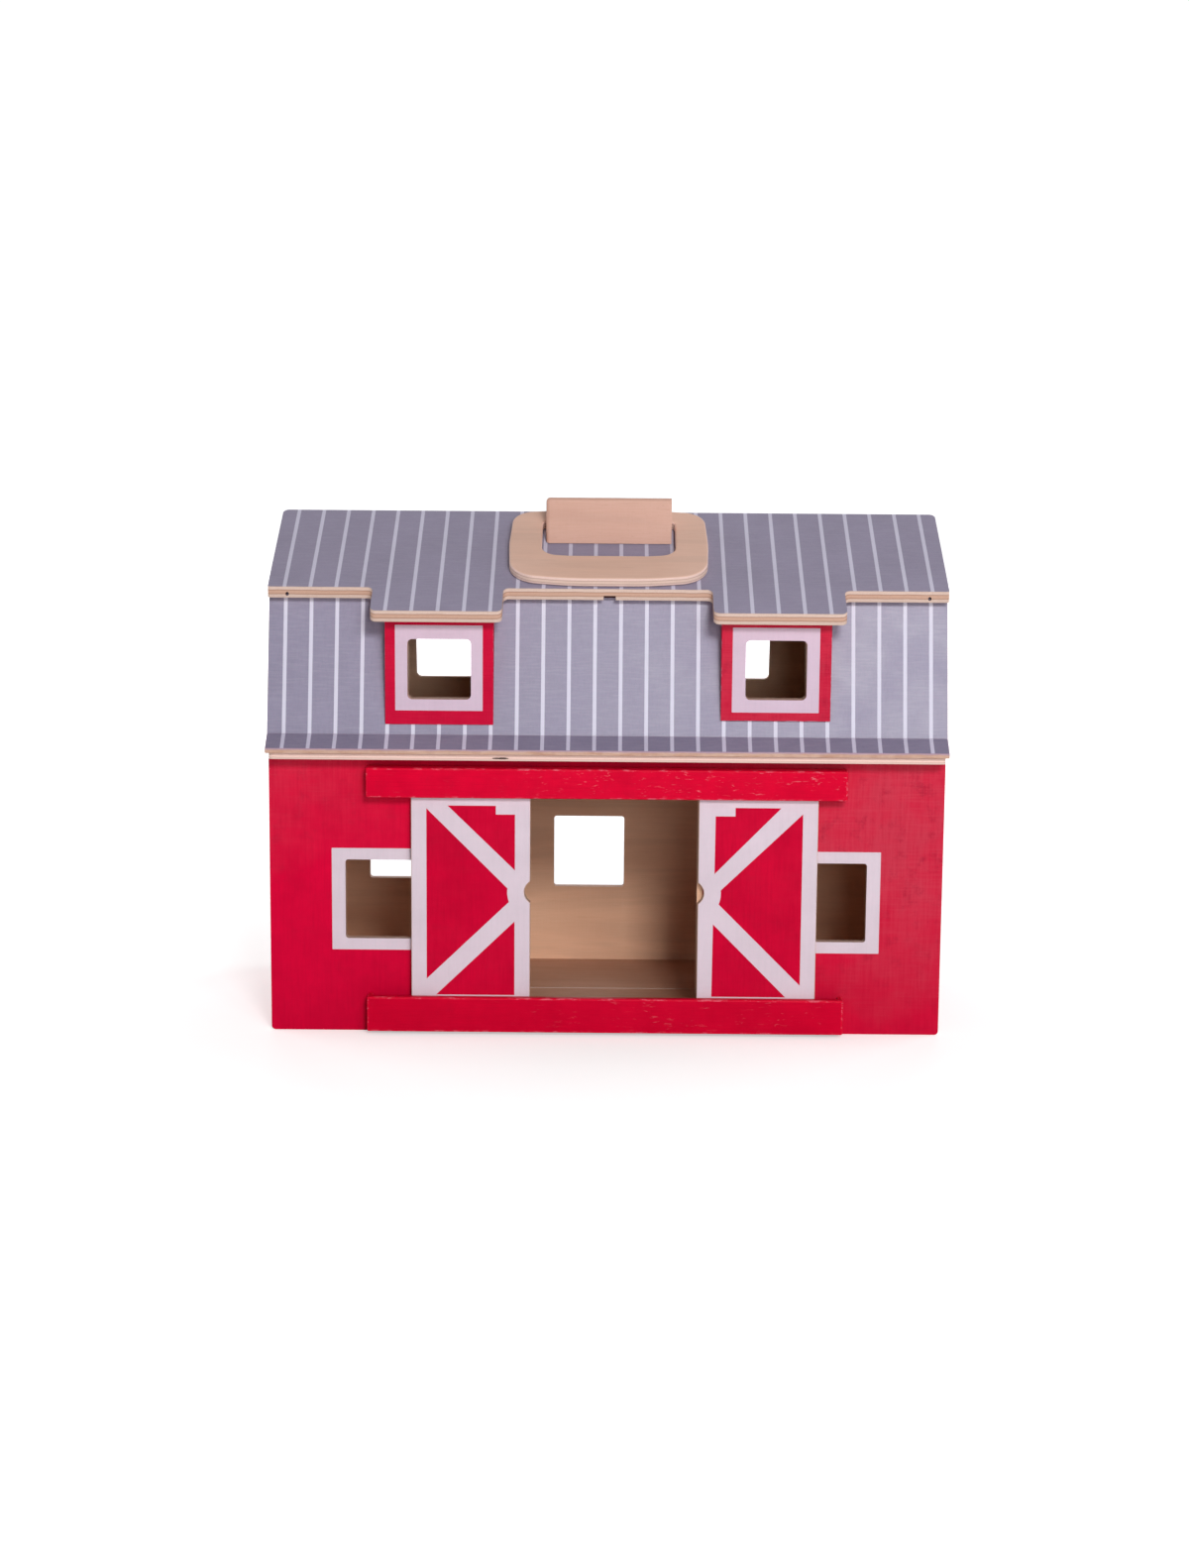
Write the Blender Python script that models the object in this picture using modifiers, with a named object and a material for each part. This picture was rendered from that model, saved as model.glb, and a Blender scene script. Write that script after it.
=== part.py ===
"""Toy barn in two halves that fold open on hinges at its left end.

Metres, +Z up. X runs along the ridge, the doors face -Y, and the origin is on
the ground under the middle of the closed barn. A reach is a distance from the
ridge's plane, towards the front or towards the rear.
"""
import math

import bmesh
import bpy
from mathutils import Matrix, Vector

# Sides, as signs of Y and X
FRONT = -1
REAR = 1
LEFT = -1
RIGHT = 1

# Board, running gap and overrun of the cutters
PLY = 0.005
GAP = 0.0003
OVERRUN = 0.004

# Walls
BARN_LENGTH = 0.343
WALL_SPAN = 0.150
WALL_HEIGHT = 0.1424
WALL_CORNER = 0.002

# Loft board, whose nose lies on the wall under the eave
LOFT_PLY = 0.0030
NOSE_SETBACK = 0.0025
NOSE_INSET = 0.0015
NOSE_CORNER = 0.002

# Lower roof, nearly upright, and the eave moulding at its foot
FOOT_OVERHANG = 0.0076
LOWER_ROOF_LEAN = math.radians(13.4)
LOWER_ROOF_RISE = 0.0797
EAVE_DEPTH = 0.0074
EAVE_LIP = 0.0024
EAVE_RISE = 0.0089

# Upper roof and its tabs over the dormers
ROOF_SLOPE = math.radians(26.08)
ROOF_SETBACK = 0.0121
RIDGE_CORNER = 0.003
ROOF_CORNER = 0.001
TAB_DEPTH = 0.020
TAB_INNER_OVERHANG = 0.0046
TAB_OUTER_OVERHANG = 0.0066
TAB_FILLET = 0.003
EDGE_HOLE_RADIUS = 0.00085
EDGE_HOLE_DEPTH = 0.005
EDGE_HOLE_RAISE = 0.0019
EDGE_HOLE_INSET = 0.0099
NOTCH_PLACE = 0.0007
NOTCH_WIDTH = 0.0061
NOTCH_HEIGHT = 0.0021
NOTCH_DEPTH = 0.0020

# Windows of the front wall, and the doorway's height
DOORWAY_HEADER = 0.0184
DOORWAY_CORNER = 0.0015
WINDOW_SIZE = 0.041
WINDOW_SILL = 0.0484
WINDOW_PLACE = 0.11245
WINDOW_CORNER = 0.0015

# Windows of the rear half
REAR_WINDOW_WIDTH = 0.0395
REAR_WINDOW_HEIGHT = 0.0404
REAR_WINDOW_PITCH = 0.1042
REAR_WINDOW_SILL = 0.051
REAR_MIDDLE_PLACE = -0.0096
REAR_MIDDLE_SILL = 0.0470
ATTIC_WINDOW_WIDTH = 0.032
ATTIC_WINDOW_HEIGHT = 0.030
ATTIC_SILL_SHARE = 0.248
LEFT_ATTIC_PLACE = -0.0909
RIGHT_ATTIC_PLACE = 0.0744
ATTIC_CORNER = 0.0028

# Dormers; a foot is placed as a share of the lower roof's rise
DORMER_LIP = 0.0009
DORMER_WINDOW_CORNER = 0.0025
LEFT_DORMER_WIDTH = 0.0544
LEFT_DORMER_PLACE = -0.0846
LEFT_DORMER_FOOT_SHARE = 0.178
LEFT_DORMER_WINDOW_WIDTH = 0.0319
LEFT_DORMER_WINDOW_HEIGHT = 0.0304
LEFT_DORMER_SILL = 0.0127
RIGHT_DORMER_WIDTH = 0.0551
RIGHT_DORMER_PLACE = 0.08455
RIGHT_DORMER_FOOT_SHARE = 0.217
RIGHT_DORMER_WINDOW_WIDTH = 0.0307
RIGHT_DORMER_WINDOW_HEIGHT = 0.0300
RIGHT_DORMER_SILL = 0.0106

# Sliding doors; each stands open by a share of its travel
DOOR_WIDTH = 0.0605
DOOR_TRAVEL = 0.05795
DOOR_OVERLAP = 0.0141
DOOR_PLAY = 0.0005
LEFT_OPEN_SHARE = 0.660
RIGHT_OPEN_SHARE = 0.8024
FINGER_NOTCH_RADIUS = 0.0065
FINGER_NOTCH_DEPTH = 0.0030
FINGER_NOTCH_HEIGHT = 0.0743

# Rails that hold the doors
RAIL_STOP = 0.0025
RAIL_LIP = 0.0046
UPPER_RAIL_DROP = 0.0040
UPPER_RAIL_HEIGHT = 0.0153
UPPER_GROOVE_DEPTH = 0.0035
LOWER_RAIL_LIFT = 0.0020
LOWER_RAIL_HEIGHT = 0.0181
LOWER_GROOVE_DEPTH = 0.0082

# Handle ring, lying on the front slope; distances run down the slope
RING_THICKNESS = 0.005
RING_WIDTH = 0.1022
RING_TOP = 0.0070
RING_BOTTOM = 0.0772
RING_TOP_ARCH = 0.0030
RING_BOTTOM_BOW = 0.0040
RING_SIDE_BOW = 0.0012
RING_BOW_SHARE = 0.40
RING_TOP_CORNER = 0.012
RING_BOTTOM_CORNER = 0.016
RING_BOW_RADIUS = 0.120
OPENING_WIDTH = 0.0684
OPENING_TOP = 0.0190
OPENING_BOTTOM = 0.0541
OPENING_BOW = 0.0016
OPENING_CORNER = 0.0085
OPENING_TOP_CORNER = 0.003
RING_TOP_NARROWING = 0.0015

# Keeper block that stands in the ring's opening
KEEPER_SIDE_PLAY = 0.00185
KEEPER_DEPTH = 0.0076
KEEPER_SETBACK = 0.0037
KEEPER_RISE = 0.00875
KEEPER_EDGE = 0.002

# Butt hinges: leaf, barrel, pin and screw
LEAF_PLATE = 0.0008
LEAF_RAISE = 0.0001
BARREL_RADIUS = 0.0018
PIN_RADIUS = 0.0008
PIN_HEAD_RADIUS = 0.0015
PIN_HEAD_HEIGHT = 0.0007
SCREW_HEAD_RADIUS = 0.0011
SCREW_HEAD_HEIGHT = 0.0005
SCREW_RADIUS = 0.0005
SCREW_LENGTH = 0.0040

# Barn hinges, on the left end
BARN_HINGE_HEIGHT = 0.024
BARN_LEAF_WIDTH = 0.014
BARN_SCREW_INSET = 0.005
LOWER_HINGE_PLACE = 0.035
UPPER_HINGE_PLACE = 0.110

# Handle hinge, near the ridge
HANDLE_BARREL_LENGTH = 0.030
HANDLE_LEAF_LENGTH = 0.054
HANDLE_SCREW_INSET = 0.006
ROOF_LEAF_WIDTH = 0.0035
ROOF_SCREW_RAISE = 0.0004
RING_LEAF_HEIGHT = 0.0044
RING_LEAF_LIFT = 0.0003

# Facets
ARC_STEP = math.radians(15.0)
ROUND_FACETS = 24
SCREW_FACETS = 14
SMOOTH_ANGLE = math.radians(40.0)
MERGE = 0.00001

# Levels and reaches worked out from the sizes above
HALF_LENGTH = BARN_LENGTH / 2
SPLIT = GAP / 2
WALL_REACH = WALL_SPAN / 2
WALL_INSIDE = WALL_REACH - PLY
ROOM_HALF_LENGTH = HALF_LENGTH - PLY - GAP
LOFT_BOTTOM = WALL_HEIGHT + GAP
LOFT_TOP = LOFT_BOTTOM + LOFT_PLY
ABOVE_LOFT = LOFT_TOP + GAP
LOWER_ROOF_FOOT = WALL_REACH + FOOT_OVERHANG
EAVE_REACH = LOWER_ROOF_FOOT + EAVE_DEPTH
NOSE_REACH = EAVE_REACH - NOSE_SETBACK
ROOF_REACH = LOWER_ROOF_FOOT - ROOF_SETBACK
TAB_REACH = ROOF_REACH + TAB_DEPTH
KNEE_REACH = LOWER_ROOF_FOOT - LOWER_ROOF_RISE * math.tan(LOWER_ROOF_LEAN)
KNEE_CLIMB = KNEE_REACH * math.tan(ROOF_SLOPE) + (PLY + GAP) / math.cos(ROOF_SLOPE)
RIDGE_HEIGHT = LOFT_TOP + LOWER_ROOF_RISE + KNEE_CLIMB

# Dormers, whose faces lie in one plane before the lower foot
LEFT_DORMER_FOOT = LOFT_TOP + LOWER_ROOF_RISE * LEFT_DORMER_FOOT_SHARE
RIGHT_DORMER_FOOT = LOFT_TOP + LOWER_ROOF_RISE * RIGHT_DORMER_FOOT_SHARE
LOW_FOOT_CLIMB = min(LEFT_DORMER_FOOT, RIGHT_DORMER_FOOT) - LOFT_TOP
DORMER_REACH = LOWER_ROOF_FOOT - LOW_FOOT_CLIMB * math.tan(LOWER_ROOF_LEAN) + DORMER_LIP

# Doors and rails
DOORWAY_SILL = PLY + GAP
DOORWAY_HEAD = WALL_HEIGHT - DOORWAY_HEADER
DOORWAY_WIDTH = (DOOR_WIDTH - DOOR_OVERLAP) * 2
DOOR_BACK_REACH = WALL_REACH + DOOR_PLAY
DOOR_FRONT_REACH = DOOR_BACK_REACH + PLY
LIP_REACH = DOOR_FRONT_REACH + GAP
RAIL_REACH = LIP_REACH + RAIL_LIP
RAIL_HALF_LENGTH = DOOR_PLAY / 2 + DOOR_WIDTH + DOOR_TRAVEL + GAP + RAIL_STOP
UPPER_RAIL_TOP = WALL_HEIGHT - UPPER_RAIL_DROP
UPPER_RAIL_BOTTOM = UPPER_RAIL_TOP - UPPER_RAIL_HEIGHT
LOWER_RAIL_TOP = LOWER_RAIL_LIFT + LOWER_RAIL_HEIGHT
DOOR_BOTTOM = LOWER_RAIL_TOP - LOWER_GROOVE_DEPTH + GAP
DOOR_TOP = UPPER_RAIL_BOTTOM + UPPER_GROOVE_DEPTH - DOOR_PLAY

# Handle, hinges and their axes
DOWN_SLOPE = Vector((0, -math.cos(ROOF_SLOPE), -math.sin(ROOF_SLOPE)))
OFF_SLOPE = Vector((0, -math.sin(ROOF_SLOPE), math.cos(ROOF_SLOPE)))
RIDGE_POINT = Vector((0, 0, RIDGE_HEIGHT))
RING_LEAF_BACK = BARREL_RADIUS + GAP + LEAF_PLATE
HANDLE_AXIS_DOWN = RING_TOP - GAP - RING_LEAF_BACK
HANDLE_AXIS_LIFT = BARREL_RADIUS + GAP
HANDLE_AXIS = RIDGE_POINT + DOWN_SLOPE * HANDLE_AXIS_DOWN + OFF_SLOPE * HANDLE_AXIS_LIFT
BAR_CORNER = DOWN_SLOPE * OPENING_TOP + OFF_SLOPE * (GAP + RING_THICKNESS)
KEEPER_LENGTH = OPENING_WIDTH - KEEPER_SIDE_PLAY * 2
KEEPER_BACK_REACH = KEEPER_SETBACK - BAR_CORNER.y
KEEPER_FRONT_REACH = KEEPER_BACK_REACH + KEEPER_DEPTH
KEEPER_TOP = RIDGE_HEIGHT + KEEPER_RISE
HANDLE_SCREW_PLACE = HANDLE_LEAF_LENGTH / 2 - HANDLE_SCREW_INSET
BARN_HINGE_X = -HALF_LENGTH - GAP - BARREL_RADIUS
BORE_RADIUS = PIN_RADIUS + GAP

X_AXIS = Vector((1, 0, 0))
Y_AXIS = Vector((0, 1, 0))
Z_AXIS = Vector((0, 0, 1))

# Colour, roughness and metallic value of each finish
RED_PAINT = ((0.68, 0.004, 0.035), 0.42, 0.0)
GREY_PAINT = ((0.29, 0.26, 0.36), 0.50, 0.0)
DARK_GREY_PAINT = ((0.19, 0.175, 0.24), 0.50, 0.0)
PLY_WOOD = ((0.66, 0.44, 0.31), 0.55, 0.0)
INSIDE_WOOD = ((0.51, 0.31, 0.19), 0.60, 0.0)
BEECH_WOOD = ((0.70, 0.42, 0.30), 0.50, 0.0)
STEEL = ((0.62, 0.62, 0.63), 0.30, 1.0)


def clear_scene():
    """Remove every object that the scene holds."""
    for thing in list(bpy.data.objects):
        bpy.data.objects.remove(thing)


def new_collection(name):
    """Make a collection in the scene."""
    collection = bpy.data.collections.new(name)
    bpy.context.scene.collection.children.link(collection)
    return collection


def placed(origin, u_axis, v_axis):
    """Matrix that puts a shape's own first two axes along the given ones."""
    turn = Matrix((u_axis, v_axis, u_axis.cross(v_axis))).transposed()
    return Matrix.Translation(origin) @ turn.to_4x4()


def mesh_of(thing):
    """Mesh of an object, with its modifiers, as the viewport shows it."""
    bpy.context.view_layer.update()
    graph = bpy.context.evaluated_depsgraph_get()
    return bpy.data.meshes.new_from_object(thing.evaluated_get(graph))


def tidied(mesh):
    """Weld a mesh's loose caps and turn its faces outwards."""
    work = bmesh.new()
    work.from_mesh(mesh)
    bmesh.ops.remove_doubles(work, verts=work.verts, dist=MERGE)
    bmesh.ops.recalc_face_normals(work, faces=work.faces)
    work.to_mesh(mesh)
    work.free()
    return mesh


def linked(name, mesh, placing, collection):
    """Object with a mesh, in a collection and at its place."""
    thing = bpy.data.objects.new(name, mesh)
    collection.objects.link(thing)
    thing.matrix_world = placing
    if collection.name == "cutters":
        thing.hide_render = True
        thing.display_type = "WIRE"
    return thing


def rounded(corners):
    """Outline of (u, v, radius) corners, each turned into an arc."""
    outline = []
    for index, (u, v, radius) in enumerate(corners):
        corner = Vector((u, v))
        if radius <= 0:
            outline.append(corner)
            continue
        before = (Vector(corners[index - 1][:2]) - corner).normalized()
        after = (Vector(corners[(index + 1) % len(corners)][:2]) - corner).normalized()
        turn = math.pi - before.angle(after)
        centre = corner + (before + after).normalized() * radius / math.cos(turn / 2)
        spoke = corner + before * radius * math.tan(turn / 2) - centre
        way = 1 if after.x * before.y - after.y * before.x > 0 else -1
        steps = max(2, round(turn / ARC_STEP))
        for step in range(steps + 1):
            outline.append(centre + Matrix.Rotation(way * turn * step / steps, 2) @ spoke)
    return outline


def rectangle(left, right, bottom, top, radius=0):
    """Outline of a rectangle with round corners."""
    corners = ((left, bottom), (right, bottom), (right, top), (left, top))
    return rounded([(u, v, radius) for u, v in corners])


def plate(name, loops, thickness, placing, collection):
    """Flat board whose first loop is its edge and whose other loops are holes."""
    curve = bpy.data.curves.new(name, "CURVE")
    curve.dimensions = "2D"
    curve.fill_mode = "BOTH"
    curve.extrude = thickness / 2
    for loop in loops:
        spline = curve.splines.new("POLY")
        spline.points.add(len(loop) - 1)
        for point, (u, v) in zip(spline.points, loop):
            point.co = (u, v, 0, 1)
        spline.use_cyclic_u = True
    outline = linked(name, curve, placing, collection)
    mesh = tidied(mesh_of(outline))
    bpy.data.objects.remove(outline)
    return linked(name, mesh, placing, collection)


def section(name, points, start, end, side, collection):
    """Board of one cross-section of (reach, height) points, from X start to end."""
    loop = [(side * reach, height) for reach, height in points]
    middle = X_AXIS * (start + end) / 2
    return plate(name, [loop], end - start, placed(middle, Y_AXIS, Z_AXIS), collection)


def upright(name, loops, near, far, side, collection):
    """Board drawn in X and height, between two reaches."""
    middle = Y_AXIS * side * (near + far) / 2
    return plate(name, loops, far - near, placed(middle, X_AXIS, Z_AXIS), collection)


def level(name, loop, bottom, top, side, collection):
    """Board drawn in X and reach, between two heights."""
    points = [(x, side * reach) for x, reach in loop]
    middle = Z_AXIS * (bottom + top) / 2
    return plate(name, [points], top - bottom, placed(middle, X_AXIS, Y_AXIS), collection)


def cylinder(name, radius, length, placing, collection):
    """Cylinder along its own Z axis, about its middle."""
    work = bmesh.new()
    bmesh.ops.create_cone(
        work, cap_ends=True, segments=ROUND_FACETS, radius1=radius, radius2=radius, depth=length
    )
    mesh = bpy.data.meshes.new(name)
    work.to_mesh(mesh)
    work.free()
    mesh.shade_smooth()
    mesh.set_sharp_from_angle(angle=SMOOTH_ANGLE)
    return linked(name, mesh, placing, collection)


def turned(name, profile, facets, placing, collection):
    """Solid turned about its own Z axis from (radius, height) points, top first."""
    mesh = bpy.data.meshes.new(name)
    points = [(radius, 0, height) for radius, height in profile]
    edges = [(index, index + 1) for index in range(len(points) - 1)]
    mesh.from_pydata(points, edges, [])
    blank = linked(name, mesh, placing, collection)
    screw = blank.modifiers.new("turn", "SCREW")
    screw.axis = "Z"
    screw.steps = facets
    screw.render_steps = facets
    screw.use_merge_vertices = True
    screw.merge_threshold = MERGE
    solid = tidied(mesh_of(blank))
    bpy.data.objects.remove(blank)
    solid.shade_smooth()
    solid.set_sharp_from_angle(angle=SMOOTH_ANGLE)
    return linked(name, solid, placing, collection)


def combine(piece, other, operation):
    """Cut a piece with another shape, or join the shape to it."""
    boolean = piece.modifiers.new(other.name, "BOOLEAN")
    boolean.operation = operation
    boolean.solver = "EXACT"
    boolean.object = other
    return piece


def finish(piece, look):
    """Give a piece its own material."""
    colour, roughness, metallic = look
    material = bpy.data.materials.new(piece.name)
    material.use_nodes = True
    shader = material.node_tree.nodes["Principled BSDF"]
    shader.inputs["Base Color"].default_value = (*colour, 1)
    shader.inputs["Roughness"].default_value = roughness
    shader.inputs["Metallic"].default_value = metallic
    piece.data.materials.clear()
    piece.data.materials.append(material)
    return piece


def carried(pieces, axis_name, place):
    """Hang moving pieces on an empty that lies on their joint's axis."""
    axis = bpy.data.objects.new(axis_name, None)
    PARTS.objects.link(axis)
    axis.location = place
    bpy.context.view_layer.update()
    for piece in pieces:
        piece.parent = axis
        piece.matrix_parent_inverse = axis.matrix_world.inverted()


def roof_height(reach, depth=0):
    """Height of a plane at some depth under the upper roof's top face."""
    return RIDGE_HEIGHT - reach * math.tan(ROOF_SLOPE) - depth / math.cos(ROOF_SLOPE)


def lean_reach(height, depth=0):
    """Reach of a plane at some depth behind the lower roof's outer face."""
    climb = (height - LOFT_TOP) * math.tan(LOWER_ROOF_LEAN)
    return LOWER_ROOF_FOOT - climb - depth / math.cos(LOWER_ROOF_LEAN)


def under_roof(lean_depth, roof_depth):
    """Point where a plane along the lower roof meets one along the upper roof."""
    fall = math.tan(ROOF_SLOPE)
    lean = math.tan(LOWER_ROOF_LEAN)
    level_part = roof_height(lean_reach(LOFT_TOP, lean_depth), roof_depth) - fall * lean * LOFT_TOP
    height = level_part / (1 - fall * lean)
    return lean_reach(height, lean_depth), height


def window_loop(place, width, sill, height, radius):
    """Outline of a window about its middle."""
    return rectangle(place - width / 2, place + width / 2, sill, sill + height, radius)


def window_cutter(name, loop, side):
    """Bar with a window's outline that runs through the lower roof of one side."""
    head = max(height for x, height in loop)
    near = lean_reach(head, PLY) - OVERRUN
    return upright(name, [loop], near, LOWER_ROOF_FOOT + OVERRUN, side, CUTTERS)


def end_wall(name, end, side):
    """Half of a gable end, between the wall and the split."""
    points = (
        (SPLIT, 0),
        (WALL_INSIDE - GAP, 0),
        (WALL_INSIDE - GAP, ABOVE_LOFT),
        (lean_reach(ABOVE_LOFT, PLY + GAP), ABOVE_LOFT),
        under_roof(PLY + GAP, PLY + GAP),
        (SPLIT, roof_height(SPLIT, PLY + GAP)),
    )
    inner = end * (HALF_LENGTH - PLY)
    outer = end * HALF_LENGTH
    return section(name, points, min(inner, outer), max(inner, outer), side, PARTS)


def floor_board(name, side):
    """Floor of one half, between its walls."""
    loop = rectangle(-ROOM_HALF_LENGTH, ROOM_HALF_LENGTH, SPLIT, WALL_INSIDE - GAP)
    return level(name, loop, 0, PLY, side, PARTS)


def loft_board(name, side):
    """Loft floor, whose wider nose lies on the wall and shows under the eave."""
    nose = HALF_LENGTH - NOSE_INSET
    corners = [
        (-ROOM_HALF_LENGTH, SPLIT, 0),
        (ROOM_HALF_LENGTH, SPLIT, 0),
        (ROOM_HALF_LENGTH, WALL_INSIDE, 0),
        (nose, WALL_INSIDE, 0),
        (nose, NOSE_REACH, NOSE_CORNER),
        (-nose, NOSE_REACH, NOSE_CORNER),
        (-nose, WALL_INSIDE, 0),
        (-ROOM_HALF_LENGTH, WALL_INSIDE, 0),
    ]
    return level(name, rounded(corners), LOFT_BOTTOM, LOFT_TOP, side, PARTS)


def wall(name, side, holes):
    """Long wall with its doorway or windows."""
    edge = rectangle(-HALF_LENGTH, HALF_LENGTH, 0, WALL_HEIGHT, WALL_CORNER)
    return upright(name, [edge, *holes], WALL_INSIDE, WALL_REACH, side, PARTS)


def lower_roof(name, side, windows):
    """Steep lower slope, from the loft board up to the upper roof."""
    points = (
        (lean_reach(ABOVE_LOFT), ABOVE_LOFT),
        under_roof(0, PLY + GAP),
        under_roof(PLY, PLY + GAP),
        (lean_reach(ABOVE_LOFT, PLY), ABOVE_LOFT),
    )
    panel = section(name, points, -HALF_LENGTH, HALF_LENGTH, side, PARTS)
    for window in windows:
        combine(panel, window, "DIFFERENCE")
    return panel


def upper_roof(name, side, plan):
    """Upper slope, with plumb edges that follow a plan of (X, reach) points."""
    front_edge = TAB_REACH + OVERRUN
    points = (
        (-OVERRUN, roof_height(-OVERRUN)),
        (front_edge, roof_height(front_edge)),
        (front_edge, roof_height(front_edge, PLY)),
        (-OVERRUN, roof_height(-OVERRUN, PLY)),
    )
    end = HALF_LENGTH + OVERRUN
    panel = section(name, points, -end, end, side, PARTS)
    bottom = roof_height(front_edge, PLY) - OVERRUN
    outline = level(name + "_plan", plan, bottom, RIDGE_HEIGHT + OVERRUN * 2, side, CUTTERS)
    return combine(panel, outline, "INTERSECT")


def straight_plan():
    """Plan of an upper roof without tabs."""
    return rounded([
        (-HALF_LENGTH, SPLIT, RIDGE_CORNER),
        (HALF_LENGTH, SPLIT, RIDGE_CORNER),
        (HALF_LENGTH, ROOF_REACH, ROOF_CORNER),
        (-HALF_LENGTH, ROOF_REACH, ROOF_CORNER),
    ])


def tabbed_plan():
    """Plan of the front upper roof, with a tab over each dormer."""
    left_near = LEFT_DORMER_PLACE + LEFT_DORMER_WIDTH / 2 + TAB_INNER_OVERHANG
    left_far = LEFT_DORMER_PLACE - LEFT_DORMER_WIDTH / 2 - TAB_OUTER_OVERHANG
    right_near = RIGHT_DORMER_PLACE - RIGHT_DORMER_WIDTH / 2 - TAB_INNER_OVERHANG
    right_far = RIGHT_DORMER_PLACE + RIGHT_DORMER_WIDTH / 2 + TAB_OUTER_OVERHANG
    return rounded([
        (-HALF_LENGTH, SPLIT, RIDGE_CORNER),
        (HALF_LENGTH, SPLIT, RIDGE_CORNER),
        (HALF_LENGTH, ROOF_REACH, ROOF_CORNER),
        (right_far, ROOF_REACH, TAB_FILLET),
        (right_far, TAB_REACH, TAB_FILLET),
        (right_near, TAB_REACH, TAB_FILLET),
        (right_near, ROOF_REACH, TAB_FILLET),
        (left_near, ROOF_REACH, TAB_FILLET),
        (left_near, TAB_REACH, TAB_FILLET),
        (left_far, TAB_REACH, TAB_FILLET),
        (left_far, ROOF_REACH, TAB_FILLET),
        (-HALF_LENGTH, ROOF_REACH, ROOF_CORNER),
    ])


def edge_hole(panel, place):
    """Small hole drilled up the slope into the upper roof's front edge."""
    height = roof_height(ROOF_REACH, PLY) + EDGE_HOLE_RAISE
    way = placed(Vector((place, -ROOF_REACH, height)), OFF_SLOPE, X_AXIS)
    name = f"{panel.name}_hole_{len(panel.modifiers)}"
    hole = cylinder(name, EDGE_HOLE_RADIUS, EDGE_HOLE_DEPTH * 2, way, CUTTERS)
    combine(panel, hole, "DIFFERENCE")


def edge_notch(panel, place):
    """Low notch at the foot of the upper roof's front edge."""
    bottom = roof_height(ROOF_REACH, PLY)
    half = NOTCH_WIDTH / 2
    loop = rectangle(place - half, place + half, bottom - OVERRUN, bottom + NOTCH_HEIGHT)
    near = ROOF_REACH - NOTCH_DEPTH
    notch = upright(f"{panel.name}_notch", [loop], near, ROOF_REACH + OVERRUN, FRONT, CUTTERS)
    combine(panel, notch, "DIFFERENCE")


def eave(name, side):
    """Wedge moulding in the corner of the lower roof and the loft's nose."""
    top = ABOVE_LOFT + EAVE_RISE
    points = (
        (lean_reach(ABOVE_LOFT, -GAP), ABOVE_LOFT),
        (EAVE_REACH, ABOVE_LOFT),
        (EAVE_REACH, ABOVE_LOFT + EAVE_LIP),
        (lean_reach(top, -GAP), top),
    )
    return section(name, points, -HALF_LENGTH, HALF_LENGTH, side, PARTS)


def dormer(name, place, width, foot, window):
    """Wedge block of a dormer, under its tab, with its window cut through."""
    points = (
        (lean_reach(foot, -GAP), foot),
        (DORMER_REACH, foot),
        (DORMER_REACH, roof_height(DORMER_REACH, PLY + GAP)),
        under_roof(-GAP, PLY + GAP),
    )
    block = section(name, points, place - width / 2, place + width / 2, FRONT, PARTS)
    return combine(block, window, "DIFFERENCE")


def door_rail(name, bottom, top, groove_bottom, groove_top):
    """Rail with a groove for the doors, closed at both ends."""
    half = RAIL_HALF_LENGTH
    near = WALL_REACH + GAP
    edge = rectangle(-half, half, bottom, top)
    rail = upright(name, [edge], near, RAIL_REACH, FRONT, PARTS)
    way = rectangle(RAIL_STOP - half, half - RAIL_STOP, groove_bottom, groove_top)
    groove = upright(name + "_groove", [way], near - OVERRUN, LIP_REACH, FRONT, CUTTERS)
    return combine(rail, groove, "DIFFERENCE")


def sliding_door(name, inner_edge, end):
    """Door board with a round finger notch in the edge near the middle."""
    outer_edge = inner_edge + end * DOOR_WIDTH
    edge = rectangle(min(inner_edge, outer_edge), max(inner_edge, outer_edge), DOOR_BOTTOM, DOOR_TOP)
    door = upright(name, [edge], DOOR_BACK_REACH, DOOR_FRONT_REACH, FRONT, PARTS)
    centre = Vector((
        inner_edge - end * (FINGER_NOTCH_RADIUS - FINGER_NOTCH_DEPTH),
        -DOOR_BACK_REACH,
        FINGER_NOTCH_HEIGHT,
    ))
    reach = placed(centre, Z_AXIS, X_AXIS)
    notch = cylinder(name + "_notch", FINGER_NOTCH_RADIUS, PLY * 2 + OVERRUN, reach, CUTTERS)
    return combine(door, notch, "DIFFERENCE")


def slope_frame(down, off):
    """Matrix of a drawing on the front slope: U along the ridge, V up the slope."""
    origin = RIDGE_POINT + DOWN_SLOPE * down + OFF_SLOPE * off
    return placed(origin, X_AXIS, -DOWN_SLOPE)


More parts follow.
